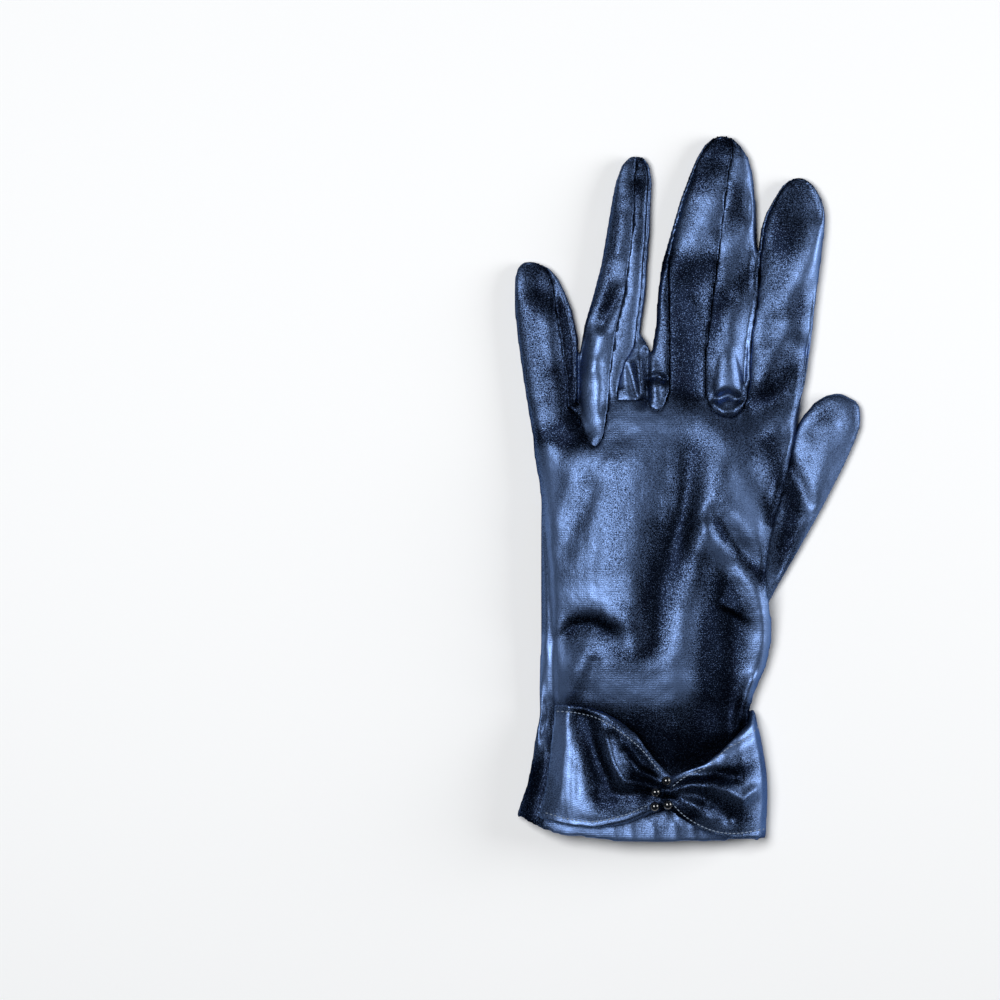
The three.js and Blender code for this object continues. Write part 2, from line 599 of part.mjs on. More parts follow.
// The plan of one fourchette with its crotch end, grown by grow on every seam.
function fourchettePlan(first, second, crotch, firstFrom, secondFrom, grow) {
  const corner = (digit, share) => {
    const plan = besideDigit(digit, 1 + PAST_TIP / digit.length, share * digit.width);
    return plan.toArray();
  };
  const down = seamLine(first, "seamRight", -grow, firstFrom - grow / first.length).reverse();
  const up = seamLine(second, "seamLeft", grow, secondFrom - grow / second.length);
  const end = crotch.rows.filter((row) => row.at > CROTCH_END);
  const margin = SEAM_GAP + grow;
  const edge = (row, side, share) => {
    const at = row.at + grow / crotch.length;
    return besideDigit(crotch, at, side * (share * crotch.width + margin)).toArray();
  };
  const leftSide = end.map((row) => edge(row, 1, row.right));
  const rightSide = end.map((row) => edge(row, -1, row.left)).reverse();
  const tip = besideDigit(crotch, 1 + margin / crotch.length, 0).toArray();
  const corners = [corner(second, SECOND_CORNER), corner(first, FIRST_CORNER)];
  return [...down, ...leftSide, tip, ...rightSide, ...up, ...corners];
}

const fourchettes = [
  {
    name: "fourchette_little_ring", first: "little", second: "ring", crotch: "tongue",
    firstFrom: 0.25, secondFrom: 0.02,
  },
  {
    name: "fourchette_ring_middle", first: "ring", second: "middle", crotch: "small_knob",
    firstFrom: 0.05, secondFrom: 0.06,
  },
  {
    name: "fourchette_middle_index", first: "middle", second: "index", crotch: "large_knob",
    firstFrom: 0.06, secondFrom: 0.06,
  },
];

function fourchettePrism(row, grow) {
  const plan = fourchettePlan(
    digits[row.first], digits[row.second], crotches[row.crotch], row.firstFrom, row.secondFrom, grow,
  );
  return prism(plan, PALM_SEAM_HEIGHT - grow, HIGH);
}

// The hand's section at a height above the hem, from one place on the back, over the right fold and
// under the palm side, as a fine line of points.
function handSection(y, fromX) {
  const row = rowAt(palmRows, "at", y / PALM_LENGTH);
  const fine = acrossPlaces(SECTION_STEPS);
  const left = -row.left * PALM_WIDTH;
  const right = row.right * PALM_WIDTH;
  const start = (2 * (fromX - left)) / (right - left) - 1;
  const back = fine.filter((s) => s > start).map((s) => palmPoint(row, s, true, 0));
  const under = fine.slice(0, -1).reverse().map((s) => palmPoint(row, s, false, 0));
  return { back: [palmPoint(row, start, true, 0), ...back], under };
}

function seamX(y) {
  const at = clamp(y / PALM_LENGTH, seamRows[0].at, seamRows.at(-1).at);
  const row = rowAt(palmRows, "at", y / PALM_LENGTH);
  return (rowAt(seamRows, "at", at).inset - row.left) * PALM_WIDTH;
}

// The place and outward direction at a distance along a line of points.
function alongLine(points, distance) {
  let left = distance;
  let i = 0;
  while (i < points.length - 2 && left > points[i].distanceTo(points[i + 1])) {
    left -= points[i].distanceTo(points[i + 1]);
    i += 1;
  }
  const [a, b] = [points[i], points[i + 1]];
  const step = b.clone().sub(a);
  const place = a.clone().addScaledVector(step, clamp(left / step.length(), 0, 1));
  const out = new THREE.Vector3(-step.z, 0, step.x).normalize();
  return { place, out };
}

const lineLength = (points) => points.slice(1).reduce((sum, p, i) => sum + p.distanceTo(points[i]), 0);

// How far the middle of the band's cloth stands off the hand.
function bandOffset(row, up) {
  const crown = mix(CROWN_EDGE, 1, Math.sin(Math.PI * up) ** CROWN_POWER);
  const distance = (row.across - GATHER_ACROSS) / GATHER_SPREAD;
  const pleat = (1 + Math.cos(2 * Math.PI * GATHER_PLEATS * (up - 0.5))) / 2;
  const gather = GATHER_DEPTH * pleat * Math.exp(-distance * distance);
  return CLEARANCE + WALL / 2 + row.puff * BAND_PUFF * crown + gather;
}

// A point in the middle of the band's cloth, and the direction that faces away from the hand.
function bandPoint(across, up) {
  const row = rowAt(bandRows, "across", across);
  const y = BAND_PLACE + mix(row.bottom, row.top, up) * BAND_HEIGHT;
  const { back, under } = handSection(y, seamX(y) + SEAM_GAP);
  const backLength = lineLength(back);
  const distance = across <= 1 ? across * backLength : backLength + (across - 1) * BAND_TUCK;
  const { place, out } = alongLine([...back, ...under], distance);
  place.addScaledVector(out, bandOffset(row, up));
  place.z = Math.max(place.z, WALL / 2);
  return { place, out };
}

function bandGrid() {
  const columns = [];
  for (let i = 0; i <= BAND_COLUMNS; i += 1) {
    const across = (2 * i) / BAND_COLUMNS;
    const places = Array.from({ length: BAND_ROWS + 1 }, (_, j) => bandPoint(across, j / BAND_ROWS));
    columns.push(places);
  }
  return columns;
}

// The band's cloth: one sheet with its two faces half a wall from the middle.
function bandSolid(columns) {
  const rings = columns.map((places) => {
    const face = (side) =>
      places.map(({ place, out }) => place.clone().addScaledVector(out, (side * WALL) / 2));
    return [...face(1).reverse(), ...face(-1)];
  });
  return loft(rings, BAND_ROWS + 1, false);
}

// The outside seam's groove in the back.
function seamGroove() {
  const rings = seamRows.map(({ at, inset }) => {
    const y = at * PALM_LENGTH;
    const row = rowAt(palmRows, "at", at);
    const { back } = handSection(y, (inset - row.left) * PALM_WIDTH);
    const { place, out } = alongLine(back, 0);
    const side = new THREE.Vector3(out.z, 0, -out.x).multiplyScalar(SEAM_GAP / 2);
    const corner = (depth, way) => place.clone().addScaledVector(out, depth).addScaledVector(side, way);
    const above = [corner(GROOVE_CLEAR, -1), corner(GROOVE_CLEAR, 1)];
    return [...above, corner(-SEAM_DEPTH, 1), corner(-SEAM_DEPTH, -1)];
  });
  return loft(rings, 2, false);
}

// Height at which a bead's middle comes to rest on the band.
function restHeight(x, y, columns, reach) {
  const face = ({ place, out }) => place.clone().addScaledVector(out, WALL / 2);
  const shares = Array.from({ length: REST_STEPS }, (_, i) => i / REST_STEPS);
  let height = 0;
  for (let i = 0; i + 1 < columns.length; i += 1) {
    for (let j = 0; j + 1 < columns[i].length; j += 1) {
      const near = face(columns[i][j]);
      if (Math.hypot(near.x - x, near.y - y) > BEAD_DIAMETER * BEAD_NEAR) continue;
      for (const along of shares) {
        const low = near.clone().lerp(face(columns[i + 1][j]), along);
        const high = face(columns[i][j + 1]).lerp(face(columns[i + 1][j + 1]), along);
        for (const up of shares) {
          const top = low.clone().lerp(high, up);
          const rise = reach ** 2 - (top.x - x) ** 2 - (top.y - y) ** 2;
          if (rise > 0) height = Math.max(height, top.z + Math.sqrt(rise));
        }
      }
    }
  }
  return height;
}

// A drilled glass bead, its bore along X, as it is sewn on.
function beadGeometry() {
  const radius = BEAD_DIAMETER / 2;
  const first = Math.asin(BEAD_BORE / BEAD_DIAMETER);
  const profile = Array.from({ length: BEAD_STEPS + 1 }, (_, i) => {
    const angle = mix(Math.PI - first, first, i / BEAD_STEPS);
    return new THREE.Vector2(radius * Math.sin(angle), radius * Math.cos(angle));
  });
  return new THREE.LatheGeometry([...profile, profile[0].clone()], BEAD_SIDES).rotateZ(Math.PI / 2);
}

function meshFrom(name, solid, look) {
  const { vertProperties, triVerts } = solid.getMesh();
  const geometry = new THREE.BufferGeometry();
  geometry.setAttribute("position", new THREE.BufferAttribute(new Float32Array(vertProperties), 3));
  geometry.setIndex(new THREE.BufferAttribute(new Uint32Array(triVerts), 1));
  geometry.computeVertexNormals();
  const mesh = new THREE.Mesh(geometry, new THREE.MeshStandardMaterial(look));
  mesh.name = name;
  return mesh;
}

// The trank, which is the palm and the back in one piece, the fourchettes and the thumb.
function clothPieces() {
  const { outer, hollow, thumb } = gloveForms();
  const shell = outer.subtract(hollow).subtract(hemCut());
  let trank = shell.subtract(seamGroove());
  const pieces = [];
  for (const row of fourchettes) {
    trank = trank.subtract(fourchettePrism(row, SEAM_GAP / 2));
    pieces.push(meshFrom(row.name, shell.intersect(fourchettePrism(row, -SEAM_GAP / 2)), satin));
  }
  return [meshFrom("trank", trank, satin), ...pieces, meshFrom("thumb", thumb, satin)];
}

function bandPieces() {
  const columns = bandGrid();
  const band = meshFrom("bow_band", bandSolid(columns), satin);
  const beads = beadRows.map((row) => {
    const { place } = bandPoint(row.across, row.up);
    const bead = new THREE.Mesh(beadGeometry(), new THREE.MeshStandardMaterial(glass));
    const height = restHeight(place.x, place.y, columns, BEAD_DIAMETER / 2 + SEAM_GAP);
    bead.position.set(place.x, place.y, height);
    bead.name = row.name;
    return bead;
  });
  return [band, ...beads];
}

// The whole glove, moved so that its box stands on the origin by the middle of its underside.
function glove() {
  const group = new THREE.Group();
  group.add(...clothPieces(), ...bandPieces());
  const box = new THREE.Box3().setFromObject(group);
  const middle = box.getCenter(new THREE.Vector3());
  group.position.set(-middle.x, -middle.y, -box.min.z);
  return group;
}

export default glove();
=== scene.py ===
import math
from collections import namedtuple
from functools import lru_cache

import bmesh
import bpy
import numpy as np
from bpy.props import FloatProperty, FloatVectorProperty, IntProperty, PointerProperty
from bpy.types import Operator, Panel, PropertyGroup
from mathutils import Matrix, Vector
from mathutils.bvhtree import BVHTree


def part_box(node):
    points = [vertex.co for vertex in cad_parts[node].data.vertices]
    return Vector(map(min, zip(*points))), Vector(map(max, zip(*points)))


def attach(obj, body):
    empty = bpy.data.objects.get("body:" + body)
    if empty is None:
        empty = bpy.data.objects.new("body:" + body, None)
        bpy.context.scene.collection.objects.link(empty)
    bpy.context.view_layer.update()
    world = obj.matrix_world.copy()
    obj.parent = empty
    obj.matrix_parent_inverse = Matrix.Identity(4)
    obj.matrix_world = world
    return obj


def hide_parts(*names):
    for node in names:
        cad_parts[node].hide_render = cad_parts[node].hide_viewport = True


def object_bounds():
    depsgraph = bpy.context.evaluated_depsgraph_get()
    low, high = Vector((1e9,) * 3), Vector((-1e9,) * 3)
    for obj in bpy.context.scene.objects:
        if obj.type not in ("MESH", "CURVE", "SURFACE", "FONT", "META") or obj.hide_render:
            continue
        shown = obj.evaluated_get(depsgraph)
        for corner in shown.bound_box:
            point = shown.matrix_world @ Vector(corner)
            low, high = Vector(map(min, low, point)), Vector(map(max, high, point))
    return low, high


bl_info = {
    "name": "Wrist length dress glove",
    "version": (1, 0, 0),
    "blender": (4, 5, 0),
    "location": "View3D > Sidebar > Glove",
    "description": "Dresses a laid satin glove with its folds, seams, stitched bow band and beads",
    "category": "Add Mesh",
}

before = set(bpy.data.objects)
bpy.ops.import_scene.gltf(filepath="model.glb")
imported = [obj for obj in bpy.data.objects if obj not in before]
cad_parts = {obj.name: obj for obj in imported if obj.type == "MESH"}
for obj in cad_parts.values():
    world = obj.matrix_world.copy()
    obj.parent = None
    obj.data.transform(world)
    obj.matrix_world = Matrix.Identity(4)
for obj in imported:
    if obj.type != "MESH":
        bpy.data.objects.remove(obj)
CAD_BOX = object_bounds()
MM = 0.001

# The view from above: its width and height in pixels, millimetres to a pixel, and the pixel over the
# glove's origin
VIEW_PIXELS = 1000
VIEW_SCALE = 0.34
VIEW_ORIGIN = (687.32, 490.0)

HEM_STRIP = 0.009  # width of the strip above the hem whose outline is evened out more
HEM_ROUNDS = 10  # how often that outline is evened out
GRID_CELL = 0.0006  # spacing of the grid that holds the heights of the laid cloth
GRID_MARGIN = 3  # cells of that grid outside the glove, on each side
GRID_REACH = 1  # height over and under the floor that the grid's rays start from
UPPER_LAYER = (0.3, 0.56)  # share of the laid cloth's height over which the folds set in
BAND_RISE = (0.004, 0.008)  # height over which the folds of the band set in
FINGER_ROOTS = (0.008, 0.034)  # from the knuckles to the roots of the fingers, along Y
SOFT_STEP = 0.0015  # height over which the flattening of the cloth sets in
PALM_FLAT_ABOVE = 0.0088  # height above which the cloth of the hand is flattened
FINGER_DROP = 0.004  # how much lower that height is at the fingers
FINGER_PRESS = 0.5  # share of the height above it that the fingers lose
WAVES = 14  # waves that make up the small wrinkles
ROW_HEIGHT = 0.35  # height of the satin's knit rows, as a share of its weave's
CURVE_STEPS = 24  # steps of a stitched edge's curve from one typed point to the next
STITCH_REACH = 0.2  # height that the rays for the stitches start from
STITCH_LEVEL = 0.2  # least upward part of the cloth's normal where a stitch can lie
BORE_SHARE = 0.24  # radius of a bead's bore, as a share of the bead's radius
BEAD_RINGS = 14  # steps of a bead from bore to bore
BEAD_TURN = 28  # steps of a bead around its bore
SHARP_ANGLE = math.radians(50)  # bends of a bead's surface from this angle on stay sharp
FLOOR_GAP = 0.0002  # how far the floor lies under the cloth
SENSOR = 36  # width of the camera's sensor in millimetres
LAMP_COLOUR = (0.98, 0.99, 1.0)

FINGER_STRIPS = ("fourchette_little_ring", "fourchette_ring_middle", "fourchette_middle_index")
HAND_NODES = ("trank", *FINGER_STRIPS)
BEADS = ("bead_top", "bead_middle", "bead_left", "bead_right")

# A fold, a dent or a patch of painted light or shade: its amount, its half widths to its left and right in
# millimetres, and the pixels that it runs through in the view from above. The amount is a height in
# millimetres, or for painted light and shade a step of the colour towards -1, painted shade, or 1, painted
# highlight.
Stroke = namedtuple("Stroke", "name amount left right points")

HAND_FOLDS = (
    Stroke("hollow below the middle crotch", -1.0, 8, 8, [(692, 452), (686, 515)]),
    Stroke("valley down the middle", -1.4, 6, 6, [(684, 500), (664, 566), (654, 645)]),
    Stroke("ridge beside the valley", 0.5, 6, 6, [(718, 470), (712, 530), (694, 585), (684, 650)]),
    Stroke("crease to the thumb", -1.4, 4.2, 3.2, [(713, 516), (736, 546), (764, 574)]),
    Stroke("ridge above the crease", 0.7, 4.2, 4.2, [(727, 505), (752, 535), (770, 560)]),
    Stroke("ridge to the cuff", 1.3, 4.5, 4, [(709, 528), (752, 590), (768, 630), (762, 675), (742, 715)]),
    Stroke("valley beside the cuff", -2.8, 7, 11, [(728, 570), (730, 630), (724, 700)]),
    Stroke("crescent dent", -1.6, 2.8, 6, [(560, 640), (573, 627), (590, 624), (608, 631)]),
    Stroke("lip over the crescent", 0.5, 5, 3.4, [(560, 618), (590, 606), (622, 620)]),
    Stroke("small fold at the left", 0.8, 3, 3, [(566, 695), (576, 670), (588, 655)]),
    Stroke("small valley beside it", -0.9, 2.6, 3.4, [(592, 662), (590, 690)]),
    Stroke("bright streak", 0.6, 3.4, 4, [(574, 462), (562, 495), (553, 525)]),
    Stroke("dark streak", -0.8, 3.6, 3.6, [(590, 490), (578, 520), (564, 550)]),
    Stroke("dent left of the tongue", -0.9, 4.4, 4.4, [(552, 434), (566, 442)]),
    Stroke("dent right of the tongue", -0.4, 4.4, 4.4, [(617, 436), (624, 440)]),
    Stroke(
        "dip to the band", -6.0, 16, 5,
        [(566, 734), (605, 748), (642, 770), (668, 786), (702, 776), (738, 750)],
    ),
    Stroke(
        "outside seam", -0.8, 1.2, 1.2,
        [(544, 520), (549, 566), (552, 640), (553, 720), (549, 780), (541, 808), (536, 828)],
    ),
    Stroke("pointed fold at the band", 1.6, 2.2, 2.4, [(752, 680), (744, 704), (738, 730)]),
    Stroke("hollow below the index", -2.6, 6, 6, [(800, 352), (780, 392), (752, 412)]),
    Stroke("edge over the thumb", 0.7, 1.6, 1.6, [(797, 412), (784, 470), (772, 530), (768, 590)]),
    Stroke("hollow in the right side", -1.0, 6, 5, [(745, 470), (772, 500)]),
    Stroke("swell of the left palm", 0.9, 9, 9, [(620, 470), (614, 560)]),
    Stroke("swell above the cuff", 0.8, 7, 7, [(640, 650), (690, 690)]),
)

HEM_PLEATS = tuple(
    Stroke("hem pleat", 0.4, 1.1, 1.1, [(across, 824), (across + 2, 846)])
    for across in (612, 630, 652, 674, 692)
)

FINGER_FOLDS = (
    Stroke("index highlight", 1.0, 4.5, 4.5, [(826, 236), (806, 270), (786, 304)]),
    Stroke("index dent", -0.6, 4.5, 4.5, [(800, 300), (806, 314)]),
    Stroke("index left dent", -0.8, 3.6, 3.6, [(771, 324), (768, 338)]),
    Stroke("index swell", 0.4, 5, 5, [(775, 350), (762, 385)]),
    Stroke("middle highlight", 0.7, 5, 5, [(702, 220), (686, 245), (672, 268)]),
    Stroke("middle left dent", -0.9, 8, 10, [(680, 284), (700, 282)]),
    Stroke("middle top dent", -1.0, 5, 6, [(734, 224), (750, 208)]),
    Stroke("middle bright band", 0.6, 4.5, 4.5, [(724, 248), (748, 232)]),
    Stroke("middle right dent", -1.4, 3.6, 7, [(730, 294), (752, 264)]),
    Stroke("middle fold line", 0.5, 2.2, 2.6, [(691, 302), (696, 322), (700, 342)]),
    Stroke("middle dark column", -1.4, 5, 8, [(692, 300), (690, 345), (692, 392)]),
    Stroke("middle bright strip", 0.7, 4.4, 4, [(736, 292), (728, 340), (720, 384)]),
    Stroke("ring crease", -1.4, 2.4, 3.4, [(619, 291), (611, 308), (602, 324)]),
    Stroke("ring swell", 0.9, 3, 3, [(600, 338), (592, 370)]),
    Stroke("ring top highlight", 0.7, 2.6, 2.6, [(622, 220), (618, 252)]),
    Stroke("little swell", 0.7, 4, 4, [(548, 325), (552, 365)]),
    Stroke("little hollow", -1.6, 4, 5, [(567, 300), (576, 350), (582, 395), (584, 425)]),
    Stroke("little tip", -2.2, 6, 6, [(536, 268), (540, 286)]),
    Stroke("ring tip", -1.8, 5, 5, [(636, 160), (636, 174)]),
    Stroke("middle tip", -1.8, 7, 7, [(722, 140), (716, 158)]),
    Stroke("index tip", -2.6, 8, 8, [(800, 184), (802, 208)]),
    Stroke("index dark side", -1.0, 3, 3, [(818, 290), (812, 340), (806, 390)]),
    Stroke("petal", 0.9, 1.6, 1.6, [(640, 362), (643, 394)]),
    Stroke("dark line left of the petal", -1.2, 1.5, 1.5, [(629, 365), (636, 394), (642, 404)]),
    Stroke("dark gap right of the petal", -1.7, 1.4, 1.6, [(646, 352), (646, 400)]),
    Stroke("small knob opening", -1.8, 1.4, 1.4, [(649, 379), (656, 376), (663, 380)]),
    Stroke("large knob opening", -2.4, 1.8, 1.8, [(718, 399), (727, 395), (736, 399)]),
    Stroke("large knob lip", 1.0, 1.2, 1.4, [(714, 404), (722, 412), (733, 412), (742, 404)]),
)

THUMB_FOLDS = (
    Stroke("thumb diagonal", -1.3, 3, 3.6, [(786, 462), (798, 484), (806, 505)]),
    Stroke("thumb top dent", -0.7, 3.6, 3.6, [(816, 432), (832, 424)]),
    Stroke("thumb swell", 0.5, 4, 4, [(826, 456), (808, 520)]),
    Stroke("thumb root hollow", -0.8, 3, 4, [(784, 540), (778, 575)]),
)

BAND_FOLDS = (
    Stroke("left wing hollow", -2.6, 3.6, 5, [(584, 718), (594, 748), (604, 774)]),
    Stroke("left wing ridge", 1.9, 2.4, 3, [(606, 738), (614, 766), (626, 780), (648, 785)]),
    Stroke("left wing inner valley", -1.7, 2, 2.4, [(624, 752), (636, 770), (652, 778)]),
    Stroke("left wing lower valley", -1.2, 2.6, 2.6, [(600, 794), (626, 792), (650, 790)]),
    Stroke("left wing swell", 0.5, 6, 6, [(556, 730), (560, 775), (576, 806)]),
    Stroke(
        "right wing ridge", 1.8, 2.2, 2.2,
        [(664, 788), (690, 783), (712, 783), (728, 790), (742, 798), (754, 790)],
    ),
    Stroke("right wing upper valley", -1.7, 2, 2.4, [(670, 780), (692, 775), (714, 772), (734, 776)]),
    Stroke("right wing lower ridge", 1.3, 1.6, 2, [(664, 792), (682, 798), (698, 806), (706, 816)]),
    Stroke("right wing lower valley", -1.4, 2, 2.2, [(668, 795), (694, 794), (716, 802), (728, 818)]),
    Stroke("right wing upper swell", 0.9, 3, 3, [(700, 764), (730, 750), (752, 740)]),
)

# Painted light and shade on the hand and the finger strips: painted shade in hollows, valleys, at the tips
# and above the band, and painted highlights on ridges, swells and edges.
HAND_PAINTED_LIGHT_AND_SHADE = (
    Stroke("little finger tip", -0.7, 5, 5, [(536, 270), (546, 298)]),
    Stroke("little finger right side", -0.9, 3.5, 3.5, [(560, 310), (571, 360), (577, 405), (570, 440)]),
    Stroke("little finger root", -0.8, 4, 4, [(545, 436), (560, 428), (586, 440)]),
    Stroke("ring tip", -0.6, 4, 4, [(637, 158), (640, 185)]),
    Stroke("ring left side", -0.5, 2.5, 2.5, [(622, 200), (612, 260), (603, 305)]),
    Stroke("ring crease", -0.8, 2.5, 3, [(616, 296), (604, 318)]),
    Stroke("ring highlight", 0.1, 2.5, 2.5, [(634, 225), (633, 258)]),
    Stroke("ring right column", 0.4, 2.5, 2.5, [(643, 278), (633, 335), (622, 378)]),
    Stroke("tongue", 0.6, 3, 3.5, [(600, 345), (594, 400), (596, 432)]),
    Stroke("middle tip", -0.9, 7, 7, [(722, 142), (708, 178)]),
    Stroke("middle highlight", 0.3, 4, 4, [(716, 182), (704, 212)]),
    Stroke("middle dark patch", -0.9, 5, 6, [(672, 262), (700, 264)]),
    Stroke("middle dark column", -1.0, 6, 6, [(688, 290), (690, 340), (690, 392)]),
    Stroke("middle right dark", -0.8, 4, 4, [(728, 300), (750, 272)]),
    Stroke("middle right edge", 0.6, 3, 3, [(742, 165), (750, 225)]),
    Stroke("middle bright band", 0.6, 3, 3, [(722, 245), (742, 232)]),
    Stroke("middle bright strip", 0.6, 3, 3, [(752, 325), (740, 360), (730, 388)]),
    Stroke("index tip", -0.6, 8, 8, [(798, 185), (795, 240)]),
    Stroke("index upper left", -0.5, 5, 5, [(785, 245), (778, 285)]),
    Stroke("index right edge", 0.8, 3.5, 3.5, [(819, 232), (813, 290), (808, 345)]),
    Stroke("index streak", 0.5, 3, 3, [(812, 250), (790, 300)]),
    Stroke("index root", -0.75, 5, 5, [(792, 372), (770, 396), (748, 404)]),
    Stroke("knuckles", -0.3, 4, 4, [(715, 420), (750, 450)]),
    Stroke("dark oval", -0.8, 6.5, 6.5, [(692, 452), (682, 520)]),
    Stroke("long valley", -0.9, 5.5, 6, [(676, 540), (660, 580), (654, 640)]),
    Stroke("ridge beside the valley", 0.35, 5, 5, [(692, 600), (686, 640), (676, 680)]),
    Stroke("left palm", 0.15, 11, 11, [(588, 480), (585, 590)]),
    Stroke("strip beside the seam", 0.9, 2.6, 2.6, [(550, 452), (553, 600), (560, 700)]),
    Stroke("crescent", -1.1, 3, 4, [(562, 634), (578, 622), (596, 622), (608, 630)]),
    Stroke("beside the crescent", -0.5, 3.5, 3.5, [(622, 655), (642, 655)]),
    Stroke("above the cuff", 1.0, 4.5, 4.5, [(606, 688), (645, 690), (680, 684)]),
    Stroke("above the band", -1.2, 8, 13, [(566, 724), (605, 730), (645, 744), (690, 750), (738, 724)]),
    Stroke("valley to the cuff", -1.2, 7, 7, [(728, 585), (728, 640), (722, 700)]),
    Stroke("ridge over the crease", 0.8, 3.4, 3.4, [(733, 486), (748, 502), (758, 530)]),
    Stroke("ridge under the crease", 0.8, 2.8, 2.8, [(712, 545), (735, 576), (758, 602)]),
    Stroke("beside the thumb", -0.7, 4, 4, [(780, 490), (775, 540), (768, 580)]),
    Stroke("ridge to the cuff", 0.5, 4, 4, [(764, 615), (764, 650), (752, 690)]),
    Stroke("hem corner", -1.0, 5, 5, [(538, 775), (530, 820)]),
    Stroke("hem", 1.0, 3.4, 3.4, [(560, 834), (620, 840), (700, 843), (750, 840)]),
    Stroke("middle centre", -0.5, 3, 3, [(716, 236), (714, 330)]),
    Stroke("little finger left side", -0.5, 5, 5, [(530, 300), (545, 400)]),
    Stroke("below the index at the side", -0.8, 4, 4, [(768, 440), (778, 474)]),
    Stroke("right of the ridge", -0.45, 4, 5, [(702, 560), (702, 620), (699, 690)]),
    Stroke("petal", -0.6, 3, 3, [(640, 366), (645, 392)]),
    Stroke("index left side", -0.4, 4, 4, [(765, 318), (792, 306)]),
    Stroke("crotch line", 0.6, 5, 5, [(632, 422), (662, 426)]),
    Stroke("side of the cuff", 0.7, 3.4, 3.4, [(766, 605), (766, 650), (756, 695)]),
    Stroke("strip outside the seam", 1.0, 2.4, 2.4, [(543, 640), (545, 700), (544, 742)]),
    Stroke("middle right of the seam", -0.9, 3.5, 3.5, [(738, 190), (743, 224)]),
    Stroke("crease", -0.8, 1.8, 2, [(716, 520), (724, 538), (742, 556), (762, 576)]),
    Stroke("over the crease at the side", -0.7, 2.5, 2.5, [(762, 502), (769, 520)]),
    Stroke("right above the band", -0.5, 5, 5, [(642, 712), (705, 715)]),
    Stroke("left side of the valley", -0.45, 4, 4, [(652, 525), (644, 605)]),
    Stroke("streak of the left palm", -0.5, 3, 3, [(586, 478), (578, 525)]),
    Stroke("index middle", -0.5, 3.4, 3.4, [(800, 296), (804, 316)]),
    Stroke("right of the tongue", -0.15, 3, 3, [(614, 436), (626, 438)]),
    Stroke("little finger middle", -0.5, 3.5, 3.5, [(556, 370), (566, 405)]),
    Stroke("over the crescent", 0.6, 4, 4, [(566, 596), (598, 590)]),
    Stroke("left of the small fold", 1.0, 3, 3, [(559, 645), (562, 690)]),
    Stroke("right of the left palm", -0.4, 4.5, 4.5, [(615, 462), (615, 565)]),
    Stroke("head of the ridge", -0.4, 4, 4, [(680, 552), (678, 600)]),
    Stroke("ring upper part", -0.5, 3, 3, [(638, 188), (638, 245)]),
    Stroke("middle upper left", -0.3, 3.5, 3.5, [(694, 186), (690, 226)]),
    Stroke("middle left side", -0.5, 4, 4, [(670, 296), (671, 390)]),
    Stroke("little finger foot", -0.5, 3.5, 3.5, [(552, 440), (560, 452)]),
    Stroke("index lower part", -0.35, 5, 5, [(764, 338), (764, 392)]),
    Stroke("index lower right", -0.4, 3, 3, [(794, 348), (808, 306)]),
    Stroke("beside the hem corner", -0.5, 3, 3, [(549, 765), (546, 785)]),
    Stroke("right of the crescent", -0.5, 3, 3, [(622, 606), (630, 630)]),
    Stroke("between crease and ridge", 0.4, 3, 3, [(732, 516), (752, 545)]),
    Stroke("tongue left side", 0.8, 2, 2, [(584, 345), (582, 395), (588, 428)]),
    Stroke("middle strip left side", -0.5, 2.5, 2.5, [(717, 300), (712, 352)]),
    Stroke("right of the ridge foot", -0.4, 3.5, 4, [(708, 622), (707, 678)]),
    Stroke("left of the crease", -0.4, 3, 3, [(720, 476), (724, 500)]),
    Stroke("head of the crease", -0.5, 2, 2, [(720, 528), (724, 534)]),
    Stroke("under the crescent", -0.4, 3, 3, [(592, 652), (612, 653)]),
    Stroke("index upper left side", -0.4, 3, 3, [(779, 204), (773, 250)]),
    Stroke("middle upper right", -0.3, 3, 3, [(728, 214), (727, 236)]),
)

# Painted light and shade on the thumb: a painted highlight along its outer edge, and painted shade by the
# hand, at its tip and at its foot.
THUMB_PAINTED_LIGHT_AND_SHADE = (
    Stroke("outer edge", 0.6, 5, 5, [(838, 430), (843, 450), (828, 490), (806, 545)]),
    Stroke("by the hand", -0.7, 3.5, 3.5, [(792, 470), (790, 515), (780, 560)]),
    Stroke("thumb tip", -0.6, 4, 4, [(824, 416), (832, 428)]),
    Stroke("thumb foot", -0.7, 3.4, 3.4, [(792, 498), (794, 515), (788, 545)]),
)

# Painted light and shade on the bow band: painted shade in its hollows and around the gather, and painted
# highlights on its edges and wing tops.
BAND_PAINTED_LIGHT_AND_SHADE = (
    Stroke("left wing at the seam", 0.8, 4, 4, [(558, 722), (565, 770), (576, 812)]),
    Stroke("left wing hollow", -1.1, 4.5, 5, [(582, 716), (592, 755), (604, 792)]),
    Stroke("left wing lower side", -0.6, 4, 4, [(598, 802), (640, 800)]),
    Stroke("left wing patch", 0.2, 2.5, 2.5, [(617, 745), (624, 762)]),
    Stroke("right wing hollow", -0.9, 3, 3, [(680, 778), (735, 774)]),
    Stroke("right wing lower side", -0.9, 4, 4, [(704, 800), (742, 816)]),
    Stroke("right edge", 0.7, 3.4, 3.4, [(761, 728), (764, 780), (764, 825)]),
    Stroke("right wing top", 0.9, 2, 2.4, [(704, 766), (728, 748), (757, 728)]),
    Stroke("left wing inner side", -0.9, 4, 4, [(618, 734), (642, 764)]),
    Stroke("below the gather", -0.9, 3, 3, [(666, 808), (690, 816)]),
    Stroke("left wing foot", 0.4, 3, 3, [(580, 800), (592, 814)]),
    Stroke("left wing top", -0.4, 2.5, 2.5, [(598, 720), (612, 726)]),
    Stroke("left wing inner end", -0.6, 3, 3, [(636, 752), (646, 774)]),
    Stroke("right wing outer hollow", -0.9, 3.4, 3.4, [(724, 776), (752, 766)]),
    Stroke("around the gather", -0.9, 5, 5, [(636, 776), (672, 798)]),
    Stroke("right of the gather", 0.9, 2, 2, [(670, 777), (690, 769)]),
)

